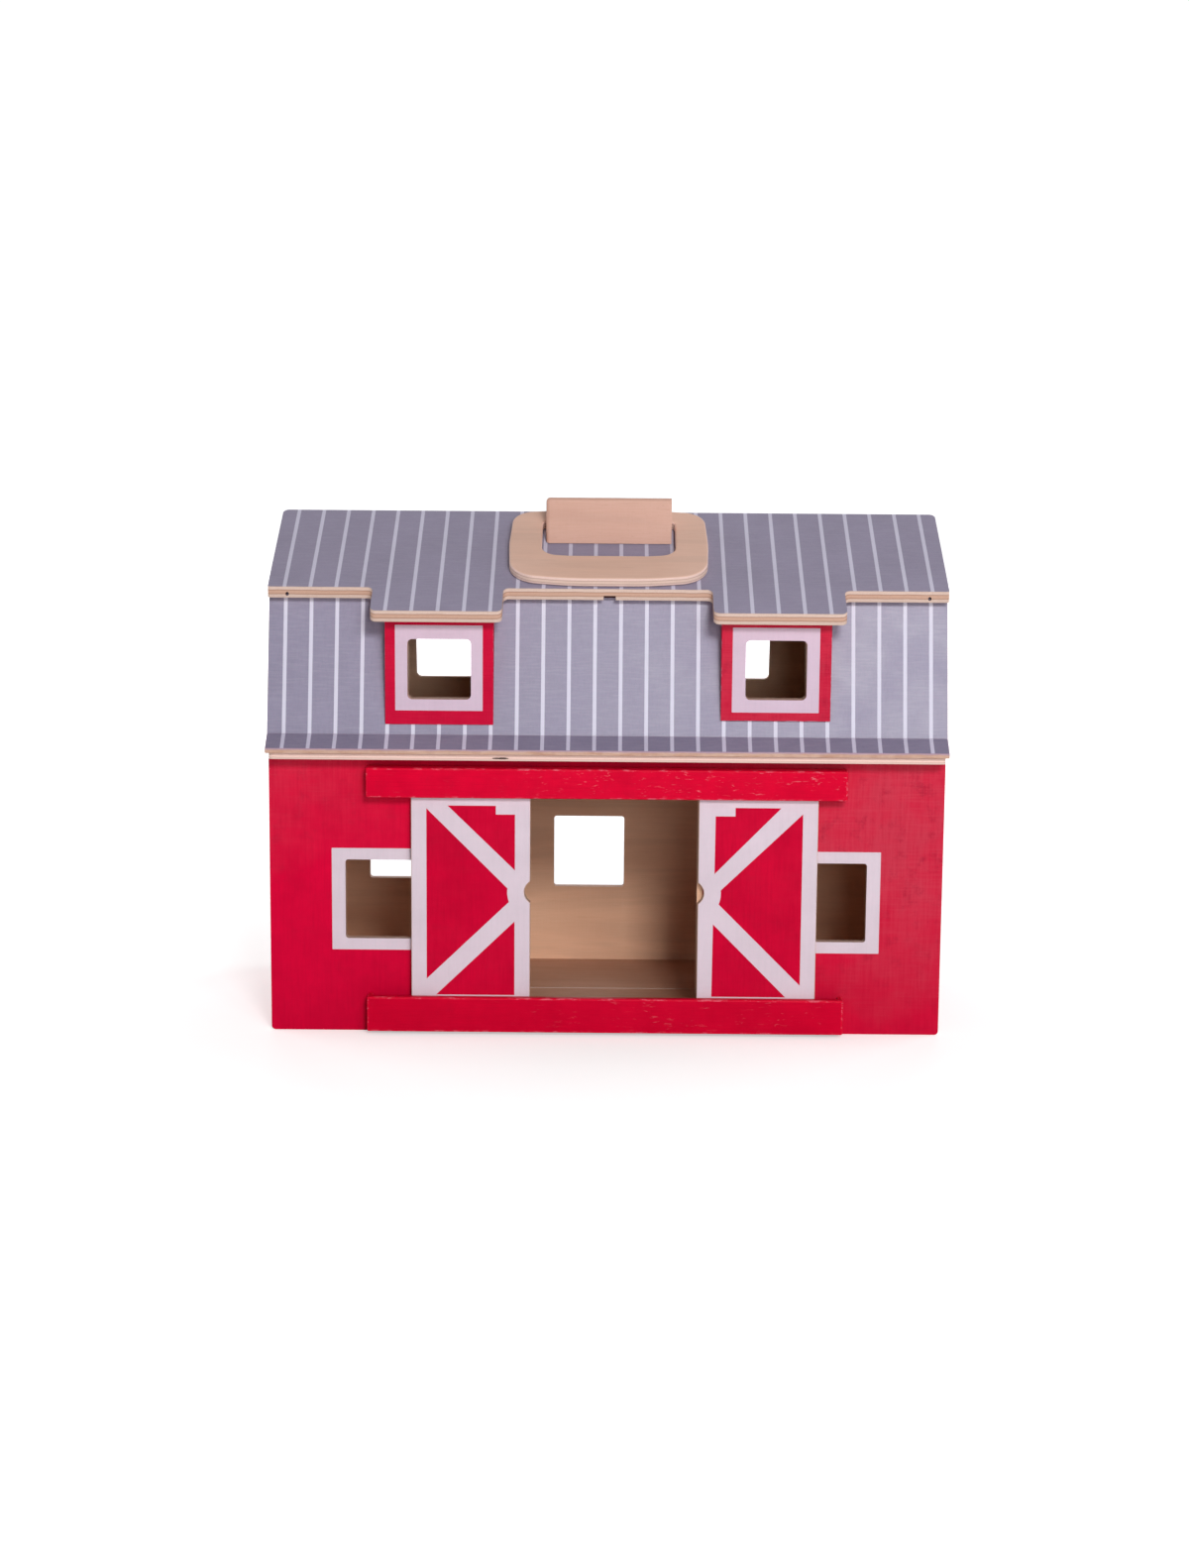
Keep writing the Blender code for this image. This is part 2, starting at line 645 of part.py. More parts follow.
def handle_ring():
    """Ring that lies on the front slope round the keeper block."""
    half = RING_WIDTH / 2
    top_half = half - RING_TOP_NARROWING
    bend = RING_WIDTH * RING_BOW_SHARE / 2
    middle = (RING_TOP + RING_BOTTOM) / 2
    outer = rounded([
        (-half + RING_SIDE_BOW, -RING_BOTTOM + RING_BOTTOM_BOW, RING_BOTTOM_CORNER),
        (-bend, -RING_BOTTOM, RING_BOW_RADIUS),
        (bend, -RING_BOTTOM, RING_BOW_RADIUS),
        (half - RING_SIDE_BOW, -RING_BOTTOM + RING_BOTTOM_BOW, RING_BOTTOM_CORNER),
        (half, -middle, RING_BOW_RADIUS),
        (top_half, -RING_TOP - RING_TOP_ARCH, RING_TOP_CORNER),
        (bend, -RING_TOP, 0),
        (-bend, -RING_TOP, 0),
        (-top_half, -RING_TOP - RING_TOP_ARCH, RING_TOP_CORNER),
        (-half, -middle, RING_BOW_RADIUS),
    ])
    hole = OPENING_WIDTH / 2
    inner = rounded([
        (-hole, -OPENING_BOTTOM + OPENING_BOW, OPENING_CORNER),
        (-bend, -OPENING_BOTTOM, 0),
        (bend, -OPENING_BOTTOM, 0),
        (hole, -OPENING_BOTTOM + OPENING_BOW, OPENING_CORNER),
        (hole, -OPENING_TOP, OPENING_TOP_CORNER),
        (-hole, -OPENING_TOP, OPENING_TOP_CORNER),
    ])
    place = slope_frame(0, GAP + RING_THICKNESS / 2)
    return plate("handle_ring", [outer, inner], RING_THICKNESS, place, PARTS)


def keeper_block():
    """Upright block on the front slope, inside the ring's opening."""
    half = KEEPER_LENGTH / 2
    deep = KEEPER_DEPTH / 2
    foot = roof_height(TAB_REACH)
    outline = rounded([
        (-deep, foot, 0),
        (deep, foot, 0),
        (deep, KEEPER_TOP, KEEPER_EDGE),
        (-deep, KEEPER_TOP, KEEPER_EDGE),
    ])
    place = placed(Vector((0, deep - KEEPER_FRONT_REACH, 0)), Y_AXIS, Z_AXIS)
    block = plate("handle_keeper_block", [outline], KEEPER_LENGTH, place, PARTS)
    ground = (
        (0, roof_height(0, -GAP)),
        (TAB_REACH, roof_height(TAB_REACH, -GAP)),
        (TAB_REACH, WALL_HEIGHT),
        (0, WALL_HEIGHT),
    )
    slope = section("keeper_seat", ground, -half - OVERRUN, half + OVERRUN, FRONT, CUTTERS)
    return combine(block, slope, "DIFFERENCE")


def screw_profile(grow=0, above=0):
    """Turned outline of a countersunk screw, or of its hole when it is grown."""
    return (
        (0, above),
        (SCREW_HEAD_RADIUS + grow, above),
        (SCREW_HEAD_RADIUS + grow, 0),
        (SCREW_RADIUS + grow, -SCREW_HEAD_HEIGHT - grow),
        (SCREW_RADIUS + grow, -SCREW_LENGTH - grow),
        (0, -SCREW_LENGTH - grow),
    )


def screw_set(name, places):
    """Screws that share one turned mesh, each at its place."""
    profile = ((0, 0), *screw_profile()[2:])
    first = turned(f"{name}_1", profile, SCREW_FACETS, places[0], PARTS)
    screws = [finish(first, STEEL)]
    for index, place in enumerate(places[1:]):
        screws.append(linked(f"{name}_{index + 2}", first.data, place, PARTS))
    return screws


def screw_holes(name, places, pieces):
    """Cut the holes of some screws in the pieces that they pass through."""
    for index, place in enumerate(places):
        profile = screw_profile(GAP, OVERRUN)
        hole = turned(f"{name}_{index + 1}", profile, SCREW_FACETS, place, CUTTERS)
        for piece in pieces:
            combine(piece, hole, "DIFFERENCE")


def hinge_leaf(name, place, length, plate_span, off, knuckles):
    """Leaf whose own Z axis is the hinge's, with its plate square to its own Y.

    The plate spans plate_span along its own X, and its back is off from the axis.
    Where its knuckles are, tongues reach from the plate to the axis.
    """
    start, end = plate_span
    loop = [(start, -length / 2), (end, -length / 2), (end, length / 2), (start, length / 2)]
    for low, high in reversed(knuckles):
        loop.append((start, high - GAP))
        loop.append((0, high - GAP))
        loop.append((0, low + GAP))
        loop.append((start, low + GAP))
    centre = place @ Vector((0, LEAF_PLATE / 2 - off, 0))
    turn = place.to_3x3()
    return plate(name, [loop], LEAF_PLATE, placed(centre, turn.col[0], turn.col[2]), PARTS)


def add_knuckles(leaf, place, knuckles, length):
    """Join a leaf's knuckles to it and bore them for the pin."""
    for index, (low, high) in enumerate(knuckles):
        middle = place @ Matrix.Translation(Z_AXIS * (low + high) / 2)
        name = f"{leaf.name}_knuckle_{index + 1}"
        combine(leaf, cylinder(name, BARREL_RADIUS, high - low, middle, CUTTERS), "UNION")
    bore = cylinder(leaf.name + "_bore", BORE_RADIUS, length + OVERRUN, place, CUTTERS)
    return finish(combine(leaf, bore, "DIFFERENCE"), STEEL)


def outer_knuckles(length):
    """Spans of a hinge's two outer knuckles."""
    inner = length / 6 + GAP / 2
    return [(-length / 2, -inner), (inner, length / 2)]


def middle_knuckle(length):
    """Span of a hinge's middle knuckle."""
    half = length / 6 - GAP / 2
    return [(-half, half)]


def hinge_pin(name, place, length):
    """Pin with a flat head, through the knuckles of a hinge."""
    neck = length / 2 + GAP
    profile = (
        (0, neck + PIN_HEAD_HEIGHT),
        (PIN_HEAD_RADIUS, neck + PIN_HEAD_HEIGHT),
        (PIN_HEAD_RADIUS, neck),
        (PIN_RADIUS, neck),
        (PIN_RADIUS, -length / 2),
        (0, -length / 2),
    )
    return finish(turned(name, profile, ROUND_FACETS, place, PARTS), STEEL)


def barn_hinge(label, height, end_walls):
    """One butt hinge on the left end; gives the places of its screws by side."""
    length = BARN_HINGE_HEIGHT
    axis = Vector((BARN_HINGE_X, 0, height))
    inner = BARREL_RADIUS + GAP
    off = BARREL_RADIUS - LEAF_RAISE
    outside = BARN_HINGE_X + off - LEAF_PLATE
    pitch = length - BARN_SCREW_INSET * 2
    screws = {}
    leaves = {}
    for side, word, knuckles in (
        (FRONT, "front", outer_knuckles(length)),
        (REAR, "rear", middle_knuckle(length)),
    ):
        place = placed(axis, Y_AXIS * side, -X_AXIS)
        name = f"{word}_{label}_hinge_leaf"
        leaf = hinge_leaf(name, place, length, (inner, BARN_LEAF_WIDTH), off, knuckles)
        leaves[side] = add_knuckles(leaf, place, knuckles, length)
        reach = side * (inner + BARN_LEAF_WIDTH) / 2
        screws[side] = [
            placed(Vector((outside, reach, height + way * pitch / 2)), Z_AXIS, Y_AXIS)
            for way in (-1, 1)
        ]
        screw_holes(f"{word}_{label}_screw_hole", screws[side], (leaf, end_walls[side]))
    hinge_pin(f"{label}_hinge_pin", placed(axis, X_AXIS, Y_AXIS), length)
    return leaves, screws


def handle_roof_leaf(roof):
    """Leaf of the handle's hinge, screwed to the roof by an ear at each end."""
    length = HANDLE_BARREL_LENGTH
    inner = BARREL_RADIUS + GAP
    off = BARREL_RADIUS - LEAF_RAISE
    place = placed(HANDLE_AXIS, -DOWN_SLOPE, OFF_SLOPE)
    knuckles = outer_knuckles(length)
    span = (inner, ROOF_LEAF_WIDTH)
    leaf = hinge_leaf("handle_roof_leaf", place, HANDLE_LEAF_LENGTH, span, off, knuckles)
    ear_start = length / 2 + GAP * 2 + PIN_HEAD_HEIGHT
    ear_foot = GAP - RING_LEAF_BACK + LEAF_PLATE
    back = HANDLE_AXIS + OFF_SLOPE * (LEAF_PLATE / 2 - off)
    for way in (-1, 1):
        ends = sorted((way * ear_start, way * HANDLE_LEAF_LENGTH / 2))
        loop = rectangle(*ends, ear_foot, ROOF_LEAF_WIDTH)
        ear_place = placed(back, X_AXIS, -DOWN_SLOPE)
        ear = plate(f"roof_leaf_ear_{way}", [loop], LEAF_PLATE, ear_place, CUTTERS)
        combine(leaf, ear, "UNION")
    add_knuckles(leaf, place, knuckles, length)
    middle = HANDLE_AXIS - DOWN_SLOPE * ROOF_SCREW_RAISE + OFF_SLOPE * (LEAF_PLATE - off)
    screws = [
        placed(middle + X_AXIS * way * HANDLE_SCREW_PLACE, X_AXIS, -DOWN_SLOPE)
        for way in (-1, 1)
    ]
    screw_holes("handle_roof_screw_hole", screws, (leaf, roof))
    screw_set("handle_roof_screw", screws)
    hinge_pin("handle_hinge_pin", place, length)


def handle_ring_leaf(ring):
    """Leaf of the handle's hinge that is screwed to the ring's upper edge."""
    length = HANDLE_BARREL_LENGTH
    place = placed(HANDLE_AXIS, OFF_SLOPE, -DOWN_SLOPE)
    off = RING_LEAF_BACK
    low = RING_LEAF_LIFT + GAP - HANDLE_AXIS_LIFT
    span = (low, low + RING_LEAF_HEIGHT)
    leaf = hinge_leaf("handle_ring_leaf", place, HANDLE_LEAF_LENGTH, span, off, [])
    knuckle = middle_knuckle(length)
    half = knuckle[0][1] - GAP
    arm_start = PIN_RADIUS
    arm_end = off - LEAF_PLATE / 2
    arm_place = placed(
        HANDLE_AXIS + DOWN_SLOPE * (arm_start + arm_end) / 2, OFF_SLOPE, X_AXIS
    )
    arm_loop = rectangle(-LEAF_PLATE / 2, LEAF_PLATE / 2, -half, half)
    arm = plate("ring_leaf_arm", [arm_loop], arm_end - arm_start, arm_place, CUTTERS)
    combine(leaf, arm, "UNION")
    add_knuckles(leaf, place, knuckle, length)
    up = low + RING_LEAF_HEIGHT / 2
    middle = HANDLE_AXIS + DOWN_SLOPE * (off - LEAF_PLATE) + OFF_SLOPE * up
    screws = [
        placed(middle + X_AXIS * way * HANDLE_SCREW_PLACE, OFF_SLOPE, X_AXIS)
        for way in (-1, 1)
    ]
    screw_holes("handle_ring_screw_hole", screws, (leaf, ring))
    return [leaf, *screw_set("handle_ring_screw", screws)]


def build_half(side, word, wall_holes, roof_windows, plan):
    """Shell of one half: walls, floors, roof and eave; gives the pieces by name."""
    pieces = {
        "wall": finish(wall(f"{word}_wall", side, wall_holes), RED_PAINT),
        "left_end": finish(end_wall(f"{word}_left_end_wall", LEFT, side), RED_PAINT),
        "right_end": finish(end_wall(f"{word}_right_end_wall", RIGHT, side), RED_PAINT),
        "floor": finish(floor_board(f"{word}_floor", side), INSIDE_WOOD),
        "loft": finish(loft_board(f"{word}_loft_floor", side), PLY_WOOD),
        "lower_roof": finish(lower_roof(f"{word}_lower_roof", side, roof_windows), GREY_PAINT),
        "upper_roof": finish(upper_roof(f"{word}_upper_roof", side, plan), GREY_PAINT),
        "eave": finish(eave(f"{word}_eave", side), DARK_GREY_PAINT),
    }
    return pieces


def dormer_window(word, place, width, sill, height):
    """Cutter of a dormer's window, which also opens the lower roof behind it."""
    loop = window_loop(place, width, sill, height, DORMER_WINDOW_CORNER)
    return window_cutter(f"{word}_dormer_window", loop, FRONT)


def build_front():
    """Front half, with its dormers and door rails."""
    half_door = DOORWAY_WIDTH / 2
    holes = [rectangle(-half_door, half_door, DOORWAY_SILL, DOORWAY_HEAD, DOORWAY_CORNER)]
    for end in (LEFT, RIGHT):
        place = end * WINDOW_PLACE
        holes.append(window_loop(place, WINDOW_SIZE, WINDOW_SILL, WINDOW_SIZE, WINDOW_CORNER))
    left_window = dormer_window(
        "left", LEFT_DORMER_PLACE, LEFT_DORMER_WINDOW_WIDTH,
        LEFT_DORMER_FOOT + LEFT_DORMER_SILL, LEFT_DORMER_WINDOW_HEIGHT
    )
    right_window = dormer_window(
        "right", RIGHT_DORMER_PLACE, RIGHT_DORMER_WINDOW_WIDTH,
        RIGHT_DORMER_FOOT + RIGHT_DORMER_SILL, RIGHT_DORMER_WINDOW_HEIGHT
    )
    half = build_half(FRONT, "front", holes, (left_window, right_window), tabbed_plan())
    for end in (LEFT, RIGHT):
        edge_hole(half["upper_roof"], end * (HALF_LENGTH - EDGE_HOLE_INSET))
    edge_notch(half["upper_roof"], NOTCH_PLACE)
    left_dormer = dormer(
        "left_dormer", LEFT_DORMER_PLACE, LEFT_DORMER_WIDTH, LEFT_DORMER_FOOT, left_window
    )
    right_dormer = dormer(
        "right_dormer", RIGHT_DORMER_PLACE, RIGHT_DORMER_WIDTH, RIGHT_DORMER_FOOT, right_window
    )
    finish(left_dormer, RED_PAINT)
    finish(right_dormer, RED_PAINT)
    upper_groove = (UPPER_RAIL_BOTTOM - OVERRUN, UPPER_RAIL_BOTTOM + UPPER_GROOVE_DEPTH)
    lower_groove = (LOWER_RAIL_TOP - LOWER_GROOVE_DEPTH, LOWER_RAIL_TOP + OVERRUN)
    finish(
        door_rail("upper_door_rail", UPPER_RAIL_BOTTOM, UPPER_RAIL_TOP, *upper_groove), RED_PAINT
    )
    finish(
        door_rail("lower_door_rail", LOWER_RAIL_LIFT, LOWER_RAIL_TOP, *lower_groove), RED_PAINT
    )
    return half


def build_rear():
    """Rear half, with its windows."""
    holes = []
    for place, sill in (
        (REAR_MIDDLE_PLACE - REAR_WINDOW_PITCH, REAR_WINDOW_SILL),
        (REAR_MIDDLE_PLACE, REAR_MIDDLE_SILL),
        (REAR_MIDDLE_PLACE + REAR_WINDOW_PITCH, REAR_WINDOW_SILL),
    ):
        width = REAR_WINDOW_WIDTH
        holes.append(window_loop(place, width, sill, REAR_WINDOW_HEIGHT, WINDOW_CORNER))
    windows = []
    sill = LOFT_TOP + LOWER_ROOF_RISE * ATTIC_SILL_SHARE
    for word, place in (("left", LEFT_ATTIC_PLACE), ("right", RIGHT_ATTIC_PLACE)):
        loop = window_loop(place, ATTIC_WINDOW_WIDTH, sill, ATTIC_WINDOW_HEIGHT, ATTIC_CORNER)
        windows.append(window_cutter(f"{word}_attic_window", loop, REAR))
    return build_half(REAR, "rear", holes, windows, straight_plan())


def build_barn_hinges(front, rear):
    """Both hinges of the fold, with their screws."""
    end_walls = {FRONT: front["left_end"], REAR: rear["left_end"]}
    leaves = []
    screws = {FRONT: [], REAR: []}
    for label, height in (("lower", LOWER_HINGE_PLACE), ("upper", UPPER_HINGE_PLACE)):
        hinge_leaves, places = barn_hinge(label, height, end_walls)
        leaves.append(hinge_leaves[REAR])
        for side in screws:
            screws[side].extend(places[side])
    screw_set("front_hinge_screw", screws[FRONT])
    return [*leaves, *screw_set("rear_hinge_screw", screws[REAR])]


def build_barn():
    """The whole barn, with its moving pieces on their axes."""
    front = build_front()
    rear = build_rear()
    rear_fittings = build_barn_hinges(front, rear)
    carried([*rear.values(), *rear_fittings], "fold_axis", Vector((BARN_HINGE_X, 0, 0)))

    groove_floor = Vector((0, -DOOR_BACK_REACH, DOOR_BOTTOM))
    for word, end, share in (("left", LEFT, LEFT_OPEN_SHARE), ("right", RIGHT, RIGHT_OPEN_SHARE)):
        edge = end * (DOOR_PLAY / 2 + DOOR_TRAVEL * share)
        door = finish(sliding_door(f"{word}_door", edge, end), RED_PAINT)
        carried([door], f"{word}_door_way", groove_floor + X_AXIS * edge)

    ring = finish(handle_ring(), PLY_WOOD)
    finish(keeper_block(), BEECH_WOOD)
    handle_roof_leaf(front["upper_roof"])
    carried([ring, *handle_ring_leaf(ring)], "handle_axis", HANDLE_AXIS)


clear_scene()
PARTS = new_collection("toy_barn")
CUTTERS = new_collection("cutters")
build_barn()
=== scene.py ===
"""Toy barn with opening doors: its painted boards, wood, fittings, floor and light.

Metres, +Z up. The doors face -Y and X runs along the ridge. Every piece is made
where it stands at rest, so a material's object coordinates are metres at rest.
"""

import math

import bmesh
import bpy
from bpy.props import FloatProperty, FloatVectorProperty, PointerProperty
from mathutils import Matrix, Vector


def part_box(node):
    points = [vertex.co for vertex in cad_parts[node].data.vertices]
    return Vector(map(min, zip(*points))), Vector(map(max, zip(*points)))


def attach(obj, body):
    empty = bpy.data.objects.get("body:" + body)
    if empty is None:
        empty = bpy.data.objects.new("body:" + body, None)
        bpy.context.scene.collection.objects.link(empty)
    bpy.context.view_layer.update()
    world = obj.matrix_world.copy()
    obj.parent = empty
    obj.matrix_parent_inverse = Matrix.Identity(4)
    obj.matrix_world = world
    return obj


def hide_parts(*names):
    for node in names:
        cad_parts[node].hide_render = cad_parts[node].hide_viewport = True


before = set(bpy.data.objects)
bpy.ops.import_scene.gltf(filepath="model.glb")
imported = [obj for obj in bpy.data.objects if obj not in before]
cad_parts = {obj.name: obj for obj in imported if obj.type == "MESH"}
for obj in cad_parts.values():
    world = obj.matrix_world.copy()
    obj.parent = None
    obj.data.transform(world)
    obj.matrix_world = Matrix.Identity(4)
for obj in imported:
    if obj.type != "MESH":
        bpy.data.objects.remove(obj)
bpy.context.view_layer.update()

bl_info = {
    "name": "Toy Barn",
    "version": (1, 0, 0),
    "blender": (4, 5, 0),
    "location": "3D View > Sidebar > Barn",
    "description": "Dresses the packed toy barn with painted boards, wood and fittings",
    "category": "Object",
}

X_AXIS = Vector((1, 0, 0))
Y_AXIS = Vector((0, 1, 0))
Z_AXIS = Vector((0, 0, 1))

# Sides and ends, as signs of Y and X, with the words in the nodes' names
FRONT = -1
REAR = 1
LEFT = -1
RIGHT = 1
SIDES = ((FRONT, "front"), (REAR, "rear"))
ENDS = ((LEFT, "left"), (RIGHT, "right"))

# Boards and planes of the barn
PLY = 0.005
GAP = 0.0003
WALL_REACH = 0.075
HALF_LENGTH = 0.1715
RIDGE_HEIGHT = 0.26244
ROOF_SLOPE = math.radians(26.08)
LOWER_ROOF_LEAN = math.radians(13.4)
LOWER_ROOF_FOOT = 0.0826
LOFT_TOP = 0.1457
LOFT_PLY = 0.0030
EAVE_FOOT = LOFT_TOP + GAP
EAVE_LIP = 0.0024
DOORWAY_HALF = 0.0464
DOORWAY_HEAD = 0.1240
DOOR_FRONT_REACH = 0.0805
DOOR_WIDTH = 0.0605

# Windows as (left, right, bottom, top), and how far their borders reach round them
FRONT_WINDOWS = {
    "left": (-0.13295, -0.09195, 0.0484, 0.0894),
    "right": (0.09195, 0.13295, 0.0484, 0.0894),
}
REAR_WINDOWS = {
    "left": (-0.13355, -0.09405, 0.0510, 0.0914),
    "middle": (-0.02935, 0.01015, 0.0470, 0.0874),
    "right": (0.07485, 0.11435, 0.0510, 0.0914),
}
ATTIC_WINDOWS = {
    "left": (-0.1069, -0.0749, 0.165466, 0.195466),
    "right": (0.0584, 0.0904, 0.165466, 0.195466),
}
DORMER_WINDOWS = {
    "left": (-0.10055, -0.06865, 0.172587, 0.202987),
    "right": (0.0692, 0.0999, 0.173595, 0.203595),
}
DORMER_FRAMES = {
    "left": (-0.1067, -0.06275, 0.1669, 0.2100),
    "right": (0.0625, 0.1062, 0.1672, 0.2100),
}
BORDER_SIDE = 0.0069
BORDER_END = 0.0059
BORDER_CORNER = 0.0003
WINDOW_CORNER = 0.0015
ATTIC_CORNER = 0.0028
DORMER_WINDOW_CORNER = 0.0025

# Trim of the doors; U runs outwards from the inner edge
TRIM_INSET = 0.0003
NOTCH_CENTRE = (-0.0035, 0.0743)
NOTCH_RADIUS = 0.0065
BULGE_RADIUS = 0.0152
TRIM_OPENINGS = {
    "left": {
        "bulge": (0.0691, 0.0762), "middle": ((0.0527, 0.1172), (0.0527, 0.0288)),
        "upper": (
            (0.0420, 0.11865), (0.0175, 0.11865), (0.0175, 0.1142), (0.0078, 0.1142),
            (0.0078, 0.0855),
        ),
        "lower": ((0.0079, 0.0590), (0.0479, 0.0205), (0.0079, 0.0205)),
    },
    "right": {
        "bulge": (0.0687, 0.0760), "middle": ((0.0527, 0.1156), (0.0527, 0.0267)),
        "upper": (
            (0.0417, 0.1186), (0.0185, 0.1186), (0.0185, 0.1142), (0.0085, 0.1142),
            (0.0083, 0.0844),
        ),
        "lower": ((0.0079, 0.0584), (0.0454, 0.0205), (0.0076, 0.0205)),
    },
}

# Handle ring and keeper block
RING_WIDTH = 0.1022
RING_TOP = 0.0070
RING_BOTTOM = 0.0772
RING_TOP_ARCH = 0.0030
RING_TOP_NARROWING = 0.0015
RING_BOTTOM_BOW = 0.0040
RING_SIDE_BOW = 0.0012
RING_BEND = 0.02044
RING_TOP_CORNER = 0.012
RING_BOTTOM_CORNER = 0.016
RING_BOW_RADIUS = 0.120
OPENING_WIDTH = 0.0684
OPENING_TOP = 0.0190
OPENING_BOTTOM = 0.0541
OPENING_BOW = 0.0016
OPENING_CORNER = 0.0085
OPENING_TOP_CORNER = 0.003

# Small void in the nose of the front loft board: its middle, its size, and the
# waves of its ragged height
VOID_PLACE = Vector((-0.0534, -0.0875, 0.1440))
VOID_SIZE = (0.0085, 0.0040, 0.0009)
VOID_TURNS = 9.0
VOID_WAVE = 0.16
VOID_FINE_TURNS = 2.7
VOID_FINE_WAVE = 0.09

# Holes drilled in the upper roof's front edge and the notch in its middle
EDGE_HOLE_PLACE = HALF_LENGTH - 0.0099
EDGE_HOLE_REACH = 0.0011
EDGE_NOTCH_PLACE = 0.0007
EDGE_NOTCH_REACH = 0.0034
BORE_AREA = 0.000016

# Pins: how far the head domes, its height, and the chamfer at the foot
PIN_DOME = 0.0004
PIN_HEAD = 0.0007
PIN_CHAMFER = 0.0003
PIN_DOME_STEPS = 6
PIN_FACETS = 32

# Screws: radii, depths under the top of the head, and the cross recess
SCREW_HEAD_RADIUS = 0.0011
SCREW_HEAD_EDGE = 0.00006
SCREW_HEAD_DEPTH = 0.0005
THREAD_RADIUS = 0.0005
THREAD_CORE = 0.00036
THREAD_START = 0.0008
THREAD_PITCH = 0.0004
THREAD_FLANK = 0.00015
THREAD_TURNS = 7
SCREW_TIP_RADIUS = 0.0003
SCREW_TIP_START = 0.0037
SCREW_LENGTH = 0.0040
SCREW_FACETS = 24
CROSS_ARM = 0.00066
CROSS_HALF = 0.00013
CROSS_DEPTH = 0.00030
CAP_DEPTH = 0.00001
SCREW_TURN = 1.1

# Weld, tolerance and flatness of the packed meshes, and fineness of arcs
WELD = 0.000002
NEAR = WELD * 10
FLAT = math.radians(0.6)
ARC_STEP = math.radians(5.0)
SHARP_EDGE = math.radians(30)
PIN_SHARP_EDGE = math.radians(35)
EVEN_WEIGHT = 100

# How squarely a face looks along an axis to count as facing it, flat or sloped
FACING_SHARE = 0.9
FLAT_SHARE = 0.98
SLOPED_SHARE = 0.2

# Stage: the floor, its glow to the camera by distance, and the air's light
FLOOR_RADIUS = 40.0
FLOOR_SEGMENTS = 96
NEAR_GLOW = 0.48
FAR_GLOW = 1.0
NEAR_REACH = 0.22
FAR_REACH = 1.0
AIR_LIGHT = 0.13
AIR_SEEN = 1.05
WHITE = (1.0, 1.0, 1.0, 1.0)

# Lights as name, place, size and watts; all look at one point of the barn
LIGHTS = (
    ("key_light", (0.30, -1.75, 0.94), 0.30, 14.0),
    ("side_light", (0.66, -1.65, 0.84), 0.34, 5.0),
    ("low_light", (0.26, -1.80, 0.38), 0.40, 5.5),
    ("left_fill", (-1.9, 0.8, 0.9), 1.6, 20.0),
    ("right_fill", (1.9, 0.8, 0.9), 1.6, 20.0),
    ("rear_fill", (0.0, 2.3, 1.2), 2.0, 22.0),
)
LIGHT_TARGET = Vector((0.0, 0.0, 0.12))

CAMERA_PLACE = (-0.000875, -1.389, 0.3435)
CAMERA_PITCH = math.radians(9.256)
CAMERA_YAW = math.radians(0.233)
CAMERA_ROLL = math.radians(0.442)
CAMERA_LENS = 60.30
CAMERA_SENSOR = 36.0
CAMERA_NEAR = 0.01
CAMERA_FAR = 50.0


def slope_axis(side):
    """Direction off the upper roof's top face."""
    return Vector((0, side * math.sin(ROOF_SLOPE), math.cos(ROOF_SLOPE)))


def lean_axis(side):
    """Direction off the lower roof's outer face."""
    return Vector((0, side * math.cos(LOWER_ROOF_LEAN), math.sin(LOWER_ROOF_LEAN)))


# Up the front slope of the upper roof, and off it
UP_SLOPE = Vector((0, math.cos(ROOF_SLOPE), math.sin(ROOF_SLOPE)))
OFF_SLOPE = slope_axis(FRONT)


def linear(step):
    """Scene-linear value of a colour's part given in 0 to 255 steps."""
    part = step / 255
    return part / 12.92 if part <= 0.04045 else ((part + 0.055) / 1.055) ** 2.4


def swatch(name, description, *steps):
    """Colour property whose default is given in 0 to 255 steps."""
    return FloatVectorProperty(
        name=name, description=description, subtype="COLOR", size=3, min=0, max=1,
        default=[linear(step) for step in steps]
    )


def measure(name, description, default):
    """Length property in metres."""
    return FloatProperty(
        name=name, description=description, default=default, min=0, unit="LENGTH", precision=5
    )


class BarnSizes(bpy.types.PropertyGroup):
    """Sizes that can be changed before the pieces are made."""

    edge_rounding: measure("Edge Rounding", "Soft edge of sawn boards", 0.00035)
    floor_rounding: measure("Floor Rounding", "Soft edge of the floors", 0.0006)
    ring_rounding: measure("Ring Rounding", "Soft edge of the handle ring", 0.0010)
    block_rounding: measure("Block Rounding", "Round left end of the keeper block", 0.0021)
    rail_rounding: measure("Rail Rounding", "Soft edge of the door rails", 0.0009)
    steel_rounding: measure("Steel Rounding", "Soft edge of the hinge leaves", 0.00012)
    stripe_pitch: measure("Stripe Pitch", "Distance between two stripes of the roof", 0.01304)
    stripe_width: measure("Stripe Width", "Width of a stripe of the roof", 0.0019)
    print_lift: measure("Print Lift", "How far printed trim stands off its board", 0.00010)
    doorway_margin: measure("Doorway Margin", "Bare wood round the doorway", 0.0030)


